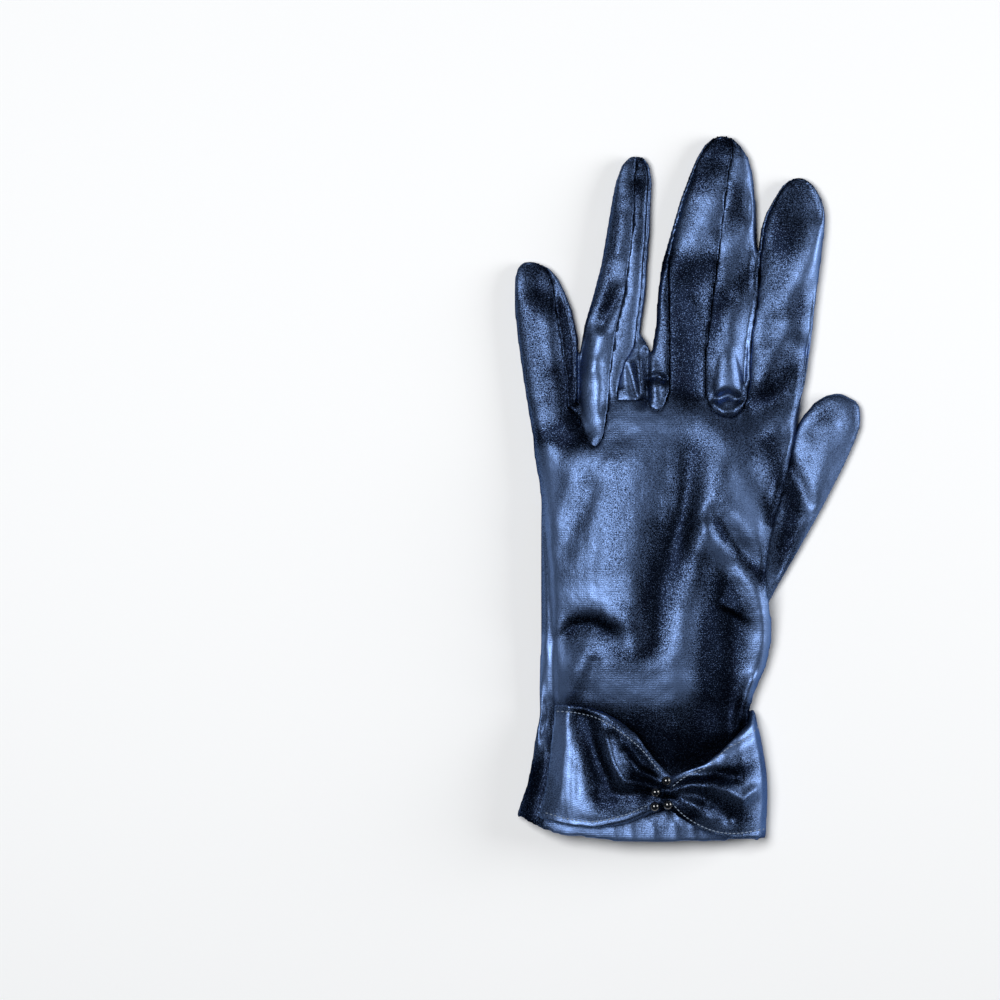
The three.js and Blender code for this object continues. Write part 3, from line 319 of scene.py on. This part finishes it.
# Edges of the band in the view from above, from the outside seam to the gather and on to the right edge
BAND_TOP = ((556, 705), (579, 707), (605, 715), (639, 739), (662, 765))
BAND_TOP_RIGHT = ((668, 781), (683, 770), (703, 761), (722, 744), (742, 733), (757, 719))
BAND_BOTTOM = ((543, 817), (566, 823), (593, 826), (626, 819), (650, 809))
BAND_BOTTOM_RIGHT = ((666, 805), (683, 821), (708, 834), (734, 838), (764, 834))
BAND_EDGES = (BAND_TOP, BAND_TOP_RIGHT, BAND_BOTTOM, BAND_BOTTOM_RIGHT)
EDGE_ROLLS = tuple(Stroke("rolled edge", 0.6, 1.1, 1.1, line) for line in BAND_EDGES)


class ClothSettings(PropertyGroup):
    """Sizes and colours of the satin"""

    fullness: FloatProperty(
        name="Fullness", description="How far the cloth swells outwards",
        default=0.00024, min=0, max=0.0005, unit="LENGTH",
    )
    grain: FloatProperty(
        name="Mesh size", description="Size of the faces that the cloth is remeshed to",
        default=0.00094, min=0.0004, max=0.003, unit="LENGTH",
    )
    thumb_grain: FloatProperty(
        name="Small mesh size", description="The same for the thumb, the finger strips and the band",
        default=0.0006, min=0.0003, max=0.003, unit="LENGTH",
    )
    smoothing: IntProperty(
        name="Smoothing", description="How often the height of the hand's cloth is evened out",
        default=30, min=0, max=60,
    )
    fold_strength: FloatProperty(
        name="Folds", description="Strength of the drawn folds", default=1.0, min=0, max=2,
    )
    wrinkle_height: FloatProperty(
        name="Wrinkles", description="Height of the small wrinkles among the folds",
        default=0.00009, min=0, max=0.002, unit="LENGTH",
    )
    dark: FloatVectorProperty(
        name="Satin, dark", description="Colour of the satin's unlit threads", subtype="COLOR", size=3,
        default=(0.003, 0.005, 0.012), min=0, max=1,
    )
    light: FloatVectorProperty(
        name="Satin, light", description="Colour of the satin's lit threads", subtype="COLOR", size=3,
        default=(0.150, 0.235, 0.450), min=0, max=1,
    )
    # Strength of the painted light and shade in the satin's colour
    painted_light_and_shade_step: FloatProperty(
        name="Shine step", description="How far the drawn shine changes the share of lit threads",
        default=0.26, min=0, max=1,
    )
    roughness: FloatProperty(
        name="Roughness", description="Spread of the satin's shine", default=0.43, min=0, max=1,
    )


class TrimSettings(PropertyGroup):
    """Sizes and colours of the stitches and beads"""

    stitch_pitch: FloatProperty(
        name="Stitch spacing", description="Distance from one stitch to the next",
        default=0.0015, min=0.0005, max=0.005, unit="LENGTH",
    )
    stitch_length: FloatProperty(
        name="Stitch length", description="Length of one stitch",
        default=0.0012, min=0.0003, max=0.004, unit="LENGTH",
    )
    stitch_width: FloatProperty(
        name="Thread", description="Thickness of the thread",
        default=0.00042, min=0.0001, max=0.001, unit="LENGTH",
    )
    stitch_inset: FloatProperty(
        name="Stitch inset", description="Distance of the stitching from the band's edge",
        default=0.0019, min=0.0005, max=0.006, unit="LENGTH",
    )
    thread: FloatVectorProperty(
        name="Thread colour", description="Colour of the stitching thread", subtype="COLOR", size=3,
        default=(0.22, 0.28, 0.38), min=0, max=1,
    )
    bead: FloatVectorProperty(
        name="Bead colour", description="Colour of the glass beads", subtype="COLOR", size=3,
        default=(0.003, 0.004, 0.007), min=0, max=1,
    )


class StageSettings(PropertyGroup):
    """Floor, light and camera"""

    floor: FloatVectorProperty(
        name="Floor colour", description="Colour of the plain floor", subtype="COLOR", size=3,
        default=(0.94, 0.94, 0.94), min=0, max=1,
    )
    camera_height: FloatProperty(
        name="Camera height", description="Height of the camera over the floor",
        default=4.0, min=0.3, unit="LENGTH",
    )
    soft_light: FloatProperty(
        name="Soft light", description="Power of the large lamp", default=11.6, min=0, unit="POWER",
    )
    side_light: FloatProperty(
        name="Side light", description="Power of the lamp at the thumb side",
        default=7.0, min=0, unit="POWER",
    )
    sky: FloatProperty(
        name="Surroundings", description="Brightness of the room around", default=0.05, min=0,
    )


def settings(group):
    return getattr(bpy.context.scene, group)


def from_view(point):
    """A point of the view from above, in metres."""
    px, py = point
    return Vector(((px - VIEW_ORIGIN[0]) * VIEW_SCALE * MM, (VIEW_ORIGIN[1] - py) * VIEW_SCALE * MM))


def smooth_ramp(values, low, high):
    t = np.clip((values - low) / (high - low), 0, 1)
    return t * t * (3 - 2 * t)


def vertex_places(mesh):
    places = np.empty(len(mesh.vertices) * 3)
    mesh.vertices.foreach_get("co", places)
    return places.reshape(-1, 3)


def set_vertex_places(mesh, places):
    mesh.vertices.foreach_set("co", places.ravel())
    mesh.update()


def stroke_amount(stroke, x, y):
    """What one stroke adds at each place: all of it on its line, and less and less beside it."""
    nearest = np.full(x.shape, np.inf)
    beside = np.zeros(x.shape)
    points = [from_view(p) for p in stroke.points]
    for a, b in zip(points, points[1:]):
        step = b - a
        share = np.clip(((x - a.x) * step.x + (y - a.y) * step.y) / step.length_squared, 0, 1)
        dx, dy = x - a.x - share * step.x, y - a.y - share * step.y
        distance = np.hypot(dx, dy)
        closer = distance < nearest
        nearest = np.where(closer, distance, nearest)
        sideways = (step.x * dy - step.y * dx) / (step.length * np.maximum(distance, 1e-6))
        beside = np.where(closer, sideways, beside)
    width = (stroke.left * (1 + beside) + stroke.right * (1 - beside)) / 2 * MM
    return stroke.amount * np.exp(-((nearest / width) ** 2))


def strokes_total(strokes, x, y):
    return sum(stroke_amount(stroke, x, y) for stroke in strokes)


def wrinkles(x, y, seed, length):
    """Smooth seeded unevenness between about -1 and 1."""
    dice = np.random.RandomState(seed)
    total = np.zeros(x.shape)
    for _ in range(WAVES):
        turn = dice.uniform(0, 2 * math.pi)
        pitch = length * dice.uniform(0.7, 1.6)
        shift = dice.uniform(0, 2 * math.pi)
        total += np.sin((x * math.cos(turn) + y * math.sin(turn)) * 2 * math.pi / pitch + shift)
    return total / math.sqrt(WAVES)


def node_mesh(node):
    """A merged copy of a solid's mesh, as a bmesh."""
    bm = bmesh.new()
    bm.from_mesh(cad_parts[node].data)
    bmesh.ops.remove_doubles(bm, verts=bm.verts, dist=1e-6)
    return bm


def new_piece(name, mesh):
    piece = bpy.data.objects.new(name, mesh)
    bpy.context.scene.collection.objects.link(piece)
    return piece


def swell(bm, distance):
    """Moves every vertex out along its normal."""
    bm.normal_update()
    for vertex in bm.verts:
        vertex.co += vertex.normal * distance


def remeshed(node, name, grain):
    """A copy of a node's solid, a little fuller, in small even faces."""
    bm = node_mesh(node)
    swell(bm, settings("glove_cloth").fullness / 2)
    mesh = bpy.data.meshes.new(name)
    bm.to_mesh(mesh)
    bm.free()
    piece = new_piece(name, mesh)
    remesh = piece.modifiers.new("even faces", "REMESH")
    remesh.mode = "VOXEL"
    remesh.voxel_size = grain
    shaped = bpy.data.meshes.new_from_object(piece.evaluated_get(bpy.context.evaluated_depsgraph_get()))
    piece.modifiers.clear()
    piece.data = shaped
    bpy.data.meshes.remove(mesh)
    shaped.name = name
    return piece


def smoothed(piece, rounds, flat_rounds):
    """Evens the height of the cloth and a little of its outline, and fills it out."""
    bm = bmesh.new()
    bm.from_mesh(piece.data)
    for _ in range(rounds):
        bmesh.ops.smooth_vert(bm, verts=bm.verts, factor=0.5, use_axis_z=True)
    for _ in range(flat_rounds):
        bmesh.ops.smooth_vert(
            bm, verts=bm.verts, factor=0.5, use_axis_x=True, use_axis_y=True, use_axis_z=True,
        )
    swell(bm, settings("glove_cloth").fullness)
    rim = [v for v in bm.verts if v.co.y < CAD_BOX[0][1] + HEM_STRIP]
    for _ in range(HEM_ROUNDS):
        bmesh.ops.smooth_vert(bm, verts=rim, factor=0.5, use_axis_x=True, use_axis_y=True)
    bm.to_mesh(piece.data)
    bm.free()


@lru_cache(maxsize=None)
def height_grid(nodes):
    """Highest and lowest surface of these solids on an even grid, with the gaps at the seams closed."""
    tree_mesh = bmesh.new()
    for node in nodes:
        tree_mesh.from_mesh(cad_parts[node].data)
    tree = BVHTree.FromBMesh(tree_mesh)
    tree_mesh.free()
    low, high = CAD_BOX
    shape = [math.ceil((high[axis] - low[axis]) / GRID_CELL) + 2 * GRID_MARGIN for axis in (1, 0)]
    tops, bottoms = np.zeros(shape), np.full(shape, np.inf)
    down, up = Vector((0, 0, -1)), Vector((0, 0, 1))
    for row in range(shape[0]):
        y = low[1] + (row - GRID_MARGIN) * GRID_CELL
        for column in range(shape[1]):
            x = low[0] + (column - GRID_MARGIN) * GRID_CELL
            top = tree.ray_cast(Vector((x, y, GRID_REACH)), down)[0]
            if top:
                tops[row, column] = top.z
                bottoms[row, column] = tree.ray_cast(Vector((x, y, -GRID_REACH)), up)[0].z
    tops = around(tops).max(axis=0)
    bottoms = around(bottoms).min(axis=0)
    bottoms[np.isinf(bottoms)] = 0
    return around(tops).mean(axis=0), around(bottoms).mean(axis=0)


def around(grid):
    """The grid and its eight shifts by one cell."""
    return np.stack([np.roll(grid, (i, j), (0, 1)) for i in (-1, 0, 1) for j in (-1, 0, 1)])


def layer_heights(nodes, x, y):
    """Heights of the highest and the lowest surface of these solids at each place."""
    low = CAD_BOX[0]
    grids = height_grid(nodes)
    rows, columns = grids[0].shape
    u = np.clip((x - low[0]) / GRID_CELL + GRID_MARGIN, 0, columns - 2)
    v = np.clip((y - low[1]) / GRID_CELL + GRID_MARGIN, 0, rows - 2)
    i, j = u.astype(int), v.astype(int)
    right, above = u - i, v - j
    found = []
    for grid in grids:
        lower_row = grid[j, i] * (1 - right) + grid[j, i + 1] * right
        upper_row = grid[j + 1, i] * (1 - right) + grid[j + 1, i + 1] * right
        found.append(lower_row * (1 - above) + upper_row * above)
    return found


def fold_cloth(piece, nodes, folds, edge, crown, seed, flat_above, kept):
    """Moves the upper layer of a laid tube of cloth into its folds, and flattens what lies high.

    The folds set in where the tube is between edge and crown high. Of the height above flat_above, the
    share kept stays.
    """
    cloth = settings("glove_cloth")
    places = vertex_places(piece.data)
    x, y, z = places.T
    tops, bottoms = layer_heights(nodes, x, y)
    share = (z - bottoms) / np.maximum(tops - bottoms, MM)
    upper = smooth_ramp(share, *UPPER_LAYER)
    inside = smooth_ramp(tops - bottoms, edge, crown)
    rise = strokes_total(folds, x, y) * MM * cloth.fold_strength
    small = 0.6 * wrinkles(x, y, seed, length=0.016) + 0.4 * wrinkles(x, y, seed + 1, length=0.008)
    rise = rise + cloth.wrinkle_height * small
    high = np.maximum(z - flat_above, 0)
    sunk = high * high / (high + SOFT_STEP) * (1 - kept)
    places[:, 2] = np.maximum(z + rise * inside * upper - sunk, 0)
    set_vertex_places(piece.data, places)


def fold_hand(piece):
    """The folds of the hand and its fingers, which lie flatter than the hand."""
    y = vertex_places(piece.data)[:, 1]
    fingers = smooth_ramp(y, *FINGER_ROOTS)
    fold_cloth(
        piece, HAND_NODES, HAND_FOLDS + HEM_PLEATS + FINGER_FOLDS, edge=0.0026, crown=0.0066, seed=11,
        flat_above=PALM_FLAT_ABOVE - FINGER_DROP * fingers, kept=1 - FINGER_PRESS * fingers,
    )


def shade_cloth(piece, patches):
    """Stores on the upper side the painted light and shade that darkens or brightens the satin's colour."""
    mesh = piece.data
    x, y, _ = vertex_places(mesh).T
    normals = np.empty(len(mesh.vertices) * 3)
    mesh.vertices.foreach_get("normal", normals)
    facing = smooth_ramp(normals[2::3], low=-0.2, high=0.3)
    # Painted light and shade: below 0 painted shade, above 0 painted highlight, kept off the cloth's
    # underside.
    shine = mesh.attributes.new("shine", "FLOAT", "POINT")
    shine.data.foreach_set("value", np.clip(strokes_total(patches, x, y), -1, 1) * facing)


def finish_piece(piece, material, slot_name, *nodes):
    """Smooth faces, finish, and the nodes that the piece stands for."""
    mesh = piece.data
    mesh.materials.clear()
    mesh.materials.append(material)
    mesh.polygons.foreach_set("use_smooth", [True] * len(mesh.polygons))
    mesh.update()
    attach(piece, "root")
    if nodes:
        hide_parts(*nodes)
    return piece


class Nodes:
    """Short way to write a material's nodes."""

    def __init__(self, name):
        self.material = bpy.data.materials.new(name)
        self.material.use_nodes = True
        self.tree = self.material.node_tree
        self.shader = self.tree.nodes["Principled BSDF"]

    def add(self, kind, **values):
        node = self.tree.nodes.new(kind)
        for key, value in values.items():
            if hasattr(node, key):
                setattr(node, key, value)
            else:
                node.inputs[key.replace("_", " ").title()].default_value = value
        return node

    def link(self, giver, output, taker, socket):
        self.tree.links.new(giver.outputs[output], taker.inputs[socket])

    def shader_value(self, **values):
        for key, value in values.items():
            self.shader.inputs[key.replace("_", " ")].default_value = value


def satin(name, turn=0.0):
    """Black satin that shines steel blue, with its fine weave and knit rows, and painted light and shade in
    its colour.
    """
    cloth = settings("glove_cloth")
    made = Nodes(name)
    place = made.add("ShaderNodeTexCoord")
    mapping = made.add("ShaderNodeMapping")
    mapping.inputs["Rotation"].default_value = (0, 0, turn)
    made.link(place, "Object", mapping, "Vector")

    speckle = made.add("ShaderNodeTexNoise", Scale=2700.0, Detail=2.0, Roughness=0.6)
    weave = made.add("ShaderNodeTexVoronoi", Scale=1900.0, Randomness=0.7)
    rows = made.add(
        "ShaderNodeTexWave", wave_type="BANDS", bands_direction="Y", Scale=520.0, Distortion=1.2, Detail=1.0,
    )
    patches = made.add("ShaderNodeTexNoise", Scale=55.0, Detail=3.0, Roughness=0.55)
    crumple = made.add("ShaderNodeTexNoise", Scale=150.0, Detail=2.0, Roughness=0.5)
    for texture in (speckle, weave, rows, patches, crumple):
        made.link(mapping, "Vector", texture, "Vector")

    # Painted light and shade: the shine attribute darkens the colour where shade falls and lightens it where
    # highlights fall.
    shine = made.add("ShaderNodeAttribute", attribute_name="shine")
    lit = made.add("ShaderNodeMath", operation="MULTIPLY_ADD")
    lit.inputs[1].default_value = cloth.painted_light_and_shade_step
    made.link(shine, "Fac", lit, 0)
    made.link(speckle, "Fac", lit, 2)
    threads = made.add("ShaderNodeMapRange")
    threads.inputs["From Min"].default_value = 0.30
    threads.inputs["From Max"].default_value = 0.72
    made.link(lit, "Value", threads, "Value")
    colours = made.add("ShaderNodeMix", data_type="RGBA")
    colours.inputs["A"].default_value = (*cloth.dark, 1)
    colours.inputs["B"].default_value = (*cloth.light, 1)
    made.link(threads, "Result", colours, "Factor")
    made.link(colours, "Result", made.shader, "Base Color")

    spread = made.add("ShaderNodeMapRange")
    spread.inputs["To Min"].default_value = cloth.roughness - 0.06
    spread.inputs["To Max"].default_value = cloth.roughness + 0.08
    made.link(patches, "Fac", spread, "Value")
    made.link(spread, "Result", made.shader, "Roughness")

    relief = made.add("ShaderNodeMath", operation="MULTIPLY_ADD")
    relief.inputs[1].default_value = ROW_HEIGHT
    made.link(rows, "Fac", relief, 0)
    made.link(weave, "Distance", relief, 2)
    fine = made.add("ShaderNodeBump", Strength=0.30, Distance=0.00012)
    made.link(relief, "Value", fine, "Height")
    broad = made.add("ShaderNodeBump", Strength=0.25, Distance=0.0012)
    made.link(crumple, "Fac", broad, "Height")
    made.link(broad, "Normal", fine, "Normal")
    made.link(fine, "Normal", made.shader, "Normal")

    made.shader_value(Metallic=1.0, Specular_IOR_Level=0.3, Specular_Tint=(0.06, 0.08, 0.12, 1))
    return made.material


def glass(name):
    """Polished black bead glass with faint unevenness."""
    trim = settings("glove_trim")
    made = Nodes(name)
    place = made.add("ShaderNodeTexCoord")
    haze = made.add("ShaderNodeTexNoise", Scale=700.0, Detail=2.0)
    made.link(place, "Object", haze, "Vector")
    shine = made.add("ShaderNodeMapRange")
    shine.inputs["To Min"].default_value = 0.04
    shine.inputs["To Max"].default_value = 0.16
    made.link(haze, "Fac", shine, "Value")
    made.link(shine, "Result", made.shader, "Roughness")
    made.shader_value(
        Base_Color=(*trim.bead, 1), Metallic=0.0, IOR=1.55, Coat_Weight=1.0, Coat_Roughness=0.12,
    )
    return made.material


def thread(name):
    """Twisted stitching thread."""
    trim = settings("glove_trim")
    made = Nodes(name)
    place = made.add("ShaderNodeTexCoord")
    twist = made.add("ShaderNodeTexNoise", Scale=3000.0, Detail=1.0)
    made.link(place, "Object", twist, "Vector")
    bump = made.add("ShaderNodeBump", Strength=0.4, Distance=0.0001)
    made.link(twist, "Fac", bump, "Height")
    made.link(bump, "Normal", made.shader, "Normal")
    made.shader_value(Base_Color=(*trim.thread, 1), Roughness=0.45, Metallic=0.3)
    return made.material


class GLOVE_OT_trank(Operator):
    """Makes the back and palm of the hand in folded satin"""

    bl_idname = "glove.trank"
    bl_label = "Back and palm"

    def execute(self, context):
        cloth = settings("glove_cloth")
        piece = remeshed("trank", "hand_satin", cloth.grain)
        smoothed(piece, cloth.smoothing, flat_rounds=4)
        fold_hand(piece)
        shade_cloth(piece, HAND_PAINTED_LIGHT_AND_SHADE)
        finish_piece(piece, satin("trank satin"), "satin", "trank")
        return {"FINISHED"}


class GLOVE_OT_strips(Operator):
    """Makes the narrow strips between the fingers"""

    bl_idname = "glove.strips"
    bl_label = "Finger strips"

    def execute(self, context):
        cloth = settings("glove_cloth")
        material = satin("strip satin", turn=math.radians(6))
        for node in FINGER_STRIPS:
            piece = remeshed(node, node.replace("fourchette", "strip"), cloth.thumb_grain)
            smoothed(piece, cloth.smoothing, flat_rounds=2)
            fold_hand(piece)
            shade_cloth(piece, HAND_PAINTED_LIGHT_AND_SHADE)
            finish_piece(piece, material, "satin", node)
        return {"FINISHED"}


class GLOVE_OT_thumb(Operator):
    """Makes the set-in thumb"""

    bl_idname = "glove.thumb"
    bl_label = "Thumb"

    def execute(self, context):
        cloth = settings("glove_cloth")
        piece = remeshed("thumb", "thumb_satin", cloth.thumb_grain)
        smoothed(piece, cloth.smoothing, flat_rounds=2)
        fold_cloth(
            piece, ("thumb",), THUMB_FOLDS, edge=0.0026, crown=0.006, seed=23, flat_above=0.0035, kept=0.45,
        )
        shade_cloth(piece, THUMB_PAINTED_LIGHT_AND_SHADE)
        finish_piece(piece, satin("thumb satin", turn=math.radians(-28)), "satin", "thumb")
        return {"FINISHED"}


class GLOVE_OT_band(Operator):
    """Makes the gathered bow band"""

    bl_idname = "glove.band"
    bl_label = "Bow band"

    def execute(self, context):
        cloth = settings("glove_cloth")
        piece = remeshed("bow_band", "bow_band_satin", cloth.thumb_grain)
        smoothed(piece, rounds=6, flat_rounds=1)
        places = vertex_places(piece.data)
        x, y, z = places.T
        rise = strokes_total(BAND_FOLDS + EDGE_ROLLS, x, y) * MM * cloth.fold_strength
        rise = rise + cloth.wrinkle_height * wrinkles(x, y, seed=31, length=0.008)
        places[:, 2] = np.maximum(z + rise * smooth_ramp(z, *BAND_RISE), 0)
        set_vertex_places(piece.data, places)
        shade_cloth(piece, BAND_PAINTED_LIGHT_AND_SHADE)
        finish_piece(piece, satin("band satin", turn=math.radians(12)), "satin", "bow_band")
        return {"FINISHED"}


def smooth_line(points, pitch, inset):
    """Even places and directions along a curve through the points, moved sideways by inset."""
    corners = [from_view(p) for p in points]
    dense = []
    for i in range(len(corners) - 1):
        a, b = corners[i], corners[i + 1]
        before = corners[i - 1] if i else a - (b - a)
        after = corners[i + 2] if i + 2 < len(corners) else b + (b - a)
        for step in range(CURVE_STEPS):
            t = step / CURVE_STEPS
            dense.append(
                0.5 * (2 * a + (b - before) * t + (2 * before - 5 * a + 4 * b - after) * t * t
                       + (3 * a - before - 3 * b + after) * t ** 3)
            )
    dense.append(corners[-1])
    places, travelled = [], pitch / 2
    for a, b in zip(dense, dense[1:]):
        length = (b - a).length
        while travelled <= length and length > 0:
            along = (b - a).normalized()
            side = Vector((-along.y, along.x))
            places.append((a + along * travelled + side * inset, along))
            travelled += pitch
        travelled -= length
    return places


def add_stitch(bm, place, along, normal, length, width):
    """One stitch: a short rounded thread lying on the cloth."""
    across = normal.cross(along).normalized()
    along = across.cross(normal).normalized()
    turned = Matrix((along, across, normal)).transposed().to_4x4()
    turned.translation = place
    stretch = Matrix.Diagonal((length / 2, width / 2, width / 2, 1))
    bmesh.ops.create_uvsphere(bm, u_segments=6, v_segments=5, radius=1, matrix=turned @ stretch)


class GLOVE_OT_stitches(Operator):
    """Sews the topstitching along the band's edges"""

    bl_idname = "glove.stitches"
    bl_label = "Topstitching"

    def execute(self, context):
        trim = settings("glove_trim")
        band = bpy.data.objects["bow_band_satin"]
        tree_mesh = bmesh.new()
        tree_mesh.from_mesh(band.data)
        tree = BVHTree.FromBMesh(tree_mesh)
        tree_mesh.free()
        bm = bmesh.new()
        for points, way in zip(BAND_EDGES, (-1, -1, 1, 1)):
            for place, along in smooth_line(points, trim.stitch_pitch, way * trim.stitch_inset):
                start = Vector((place.x, place.y, STITCH_REACH))
                hit, normal, _, _ = tree.ray_cast(start, Vector((0, 0, -1)))
                if hit is None or normal.z < STITCH_LEVEL:
                    continue
                along = Vector((along.x, along.y, 0))
                add_stitch(bm, hit, along, normal, trim.stitch_length, trim.stitch_width)
        if not bm.verts:
            raise RuntimeError("no stitch lies on the band")
        mesh = bpy.data.meshes.new("band_stitches")
        bm.to_mesh(mesh)
        bm.free()
        finish_piece(new_piece("band_stitches", mesh), thread("stitching thread"), "satin")
        return {"FINISHED"}


def drilled_ball(name, centre, radius):
    """The mesh of a ball with a bore along X."""
    bm = bmesh.new()
    first = math.asin(BORE_SHARE)
    profile = []
    for i in range(BEAD_RINGS + 1):
        angle = first + (math.pi - 2 * first) * i / BEAD_RINGS
        profile.append(bm.verts.new((radius * math.cos(angle), radius * math.sin(angle), 0)))
    edges = [bm.edges.new(pair) for pair in zip(profile, profile[1:])]
    edges.append(bm.edges.new((profile[-1], profile[0])))
    bmesh.ops.spin(
        bm, geom=profile + edges, cent=(0, 0, 0), axis=(1, 0, 0), angle=2 * math.pi, steps=BEAD_TURN,
        use_merge=True,
    )
    bmesh.ops.remove_doubles(bm, verts=bm.verts, dist=1e-7)
    bmesh.ops.recalc_face_normals(bm, faces=bm.faces)
    bmesh.ops.translate(bm, verts=bm.verts, vec=centre)
    mesh = bpy.data.meshes.new(name)
    bm.to_mesh(mesh)
    bm.free()
    return mesh


class GLOVE_OT_beads(Operator):
    """Makes the drilled beads on the gather"""

    bl_idname = "glove.beads"
    bl_label = "Beads"

    def execute(self, context):
        material = glass("bead glass")
        for node in BEADS:
            low, high = (Vector(corner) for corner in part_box(node))
            name = node + "_glass"
            mesh = drilled_ball(name, centre=(low + high) / 2, radius=(high.z - low.z) / 2)
            piece = finish_piece(new_piece(name, mesh), material, "bead_glass", node)
            piece.data.set_sharp_from_angle(angle=SHARP_ANGLE)
        return {"FINISHED"}


class GLOVE_OT_stage(Operator):
    """Lays the pale floor and sets the light and the camera"""

    bl_idname = "glove.stage"
    bl_label = "Stage"

    def execute(self, context):
        stage = settings("glove_stage")
        bm = bmesh.new()
        bmesh.ops.create_grid(bm, x_segments=2, y_segments=2, size=3.0)
        bmesh.ops.translate(bm, verts=bm.verts, vec=(0, 0, -FLOOR_GAP))
        mesh = bpy.data.meshes.new("floor")
        bm.to_mesh(mesh)
        bm.free()
        floor = new_piece("floor", mesh)
        made = Nodes("floor paper")
        place = made.add("ShaderNodeTexCoord")
        fibres = made.add("ShaderNodeTexNoise", Scale=900.0, Detail=2.0)
        made.link(place, "Object", fibres, "Vector")
        bump = made.add("ShaderNodeBump", Strength=0.05, Distance=0.0002)
        made.link(fibres, "Fac", bump, "Height")
        made.link(bump, "Normal", made.shader, "Normal")
        made.shader_value(Base_Color=(*stage.floor, 1), Roughness=0.9, Specular_IOR_Level=0.1)
        mesh.materials.append(made.material)

        world = bpy.data.worlds.new("room")
        world.use_nodes = True
        background = world.node_tree.nodes["Background"]
        background.inputs["Color"].default_value = (0.9, 0.95, 1.0, 1)
        background.inputs["Strength"].default_value = stage.sky
        context.scene.world = world

        self.lamp("soft lamp", place=(-0.34, 0.12, 1.10), size=0.62, power=stage.soft_light)
        self.lamp("side lamp", place=(0.95, 0.15, 0.38), size=0.6, power=stage.side_light)
        context.scene.view_settings.view_transform = "Standard"

        camera = bpy.data.objects.new("camera", bpy.data.cameras.new("camera"))
        camera.location = (*from_view((VIEW_PIXELS / 2, VIEW_PIXELS / 2)), stage.camera_height)
        camera.data.sensor_width = SENSOR
        camera.data.lens = SENSOR * stage.camera_height / (VIEW_PIXELS * VIEW_SCALE * MM)
        camera.data.clip_start = 0.01
        context.scene.collection.objects.link(camera)
        context.scene.camera = camera
        return {"FINISHED"}

    def lamp(self, name, place, size, power):
        """Adds a round lamp that is aimed at the glove's origin."""
        light = bpy.data.lights.new(name, "AREA")
        light.shape = "DISK"
        light.size = size
        light.energy = power
        light.color = LAMP_COLOUR
        lamp = bpy.data.objects.new(name, light)
        lamp.location = place
        lamp.rotation_euler = (-Vector(place)).to_track_quat("-Z", "Y").to_euler()
        bpy.context.scene.collection.objects.link(lamp)


STEPS = (
    GLOVE_OT_stage,
    GLOVE_OT_trank,
    GLOVE_OT_strips,
    GLOVE_OT_thumb,
    GLOVE_OT_band,
    GLOVE_OT_stitches,
    GLOVE_OT_beads,
)


class GLOVE_PT_panel(Panel):
    """Lists the glove's settings and its steps"""

    bl_idname = "GLOVE_PT_panel"
    bl_label = "Glove"
    bl_space_type = "VIEW_3D"
    bl_region_type = "UI"
    bl_category = "Glove"

    def draw(self, context):
        for group in ("glove_cloth", "glove_trim", "glove_stage"):
            box = self.layout.box()
            for name in getattr(context.scene, group).__annotations__:
                box.prop(getattr(context.scene, group), name)
        for step in STEPS:
            self.layout.operator(step.bl_idname)


CLASSES = (ClothSettings, TrimSettings, StageSettings, *STEPS, GLOVE_PT_panel)


def register():
    for cls in CLASSES:
        bpy.utils.register_class(cls)
    bpy.types.Scene.glove_cloth = PointerProperty(type=ClothSettings)
    bpy.types.Scene.glove_trim = PointerProperty(type=TrimSettings)
    bpy.types.Scene.glove_stage = PointerProperty(type=StageSettings)


def unregister():
    del bpy.types.Scene.glove_stage
    del bpy.types.Scene.glove_trim
    del bpy.types.Scene.glove_cloth
    for cls in reversed(CLASSES):
        bpy.utils.unregister_class(cls)


def main():
    register()
    for step in STEPS:
        group, name = step.bl_idname.split(".")
        getattr(getattr(bpy.ops, group), name)()


if __name__ == "__main__":
    main()
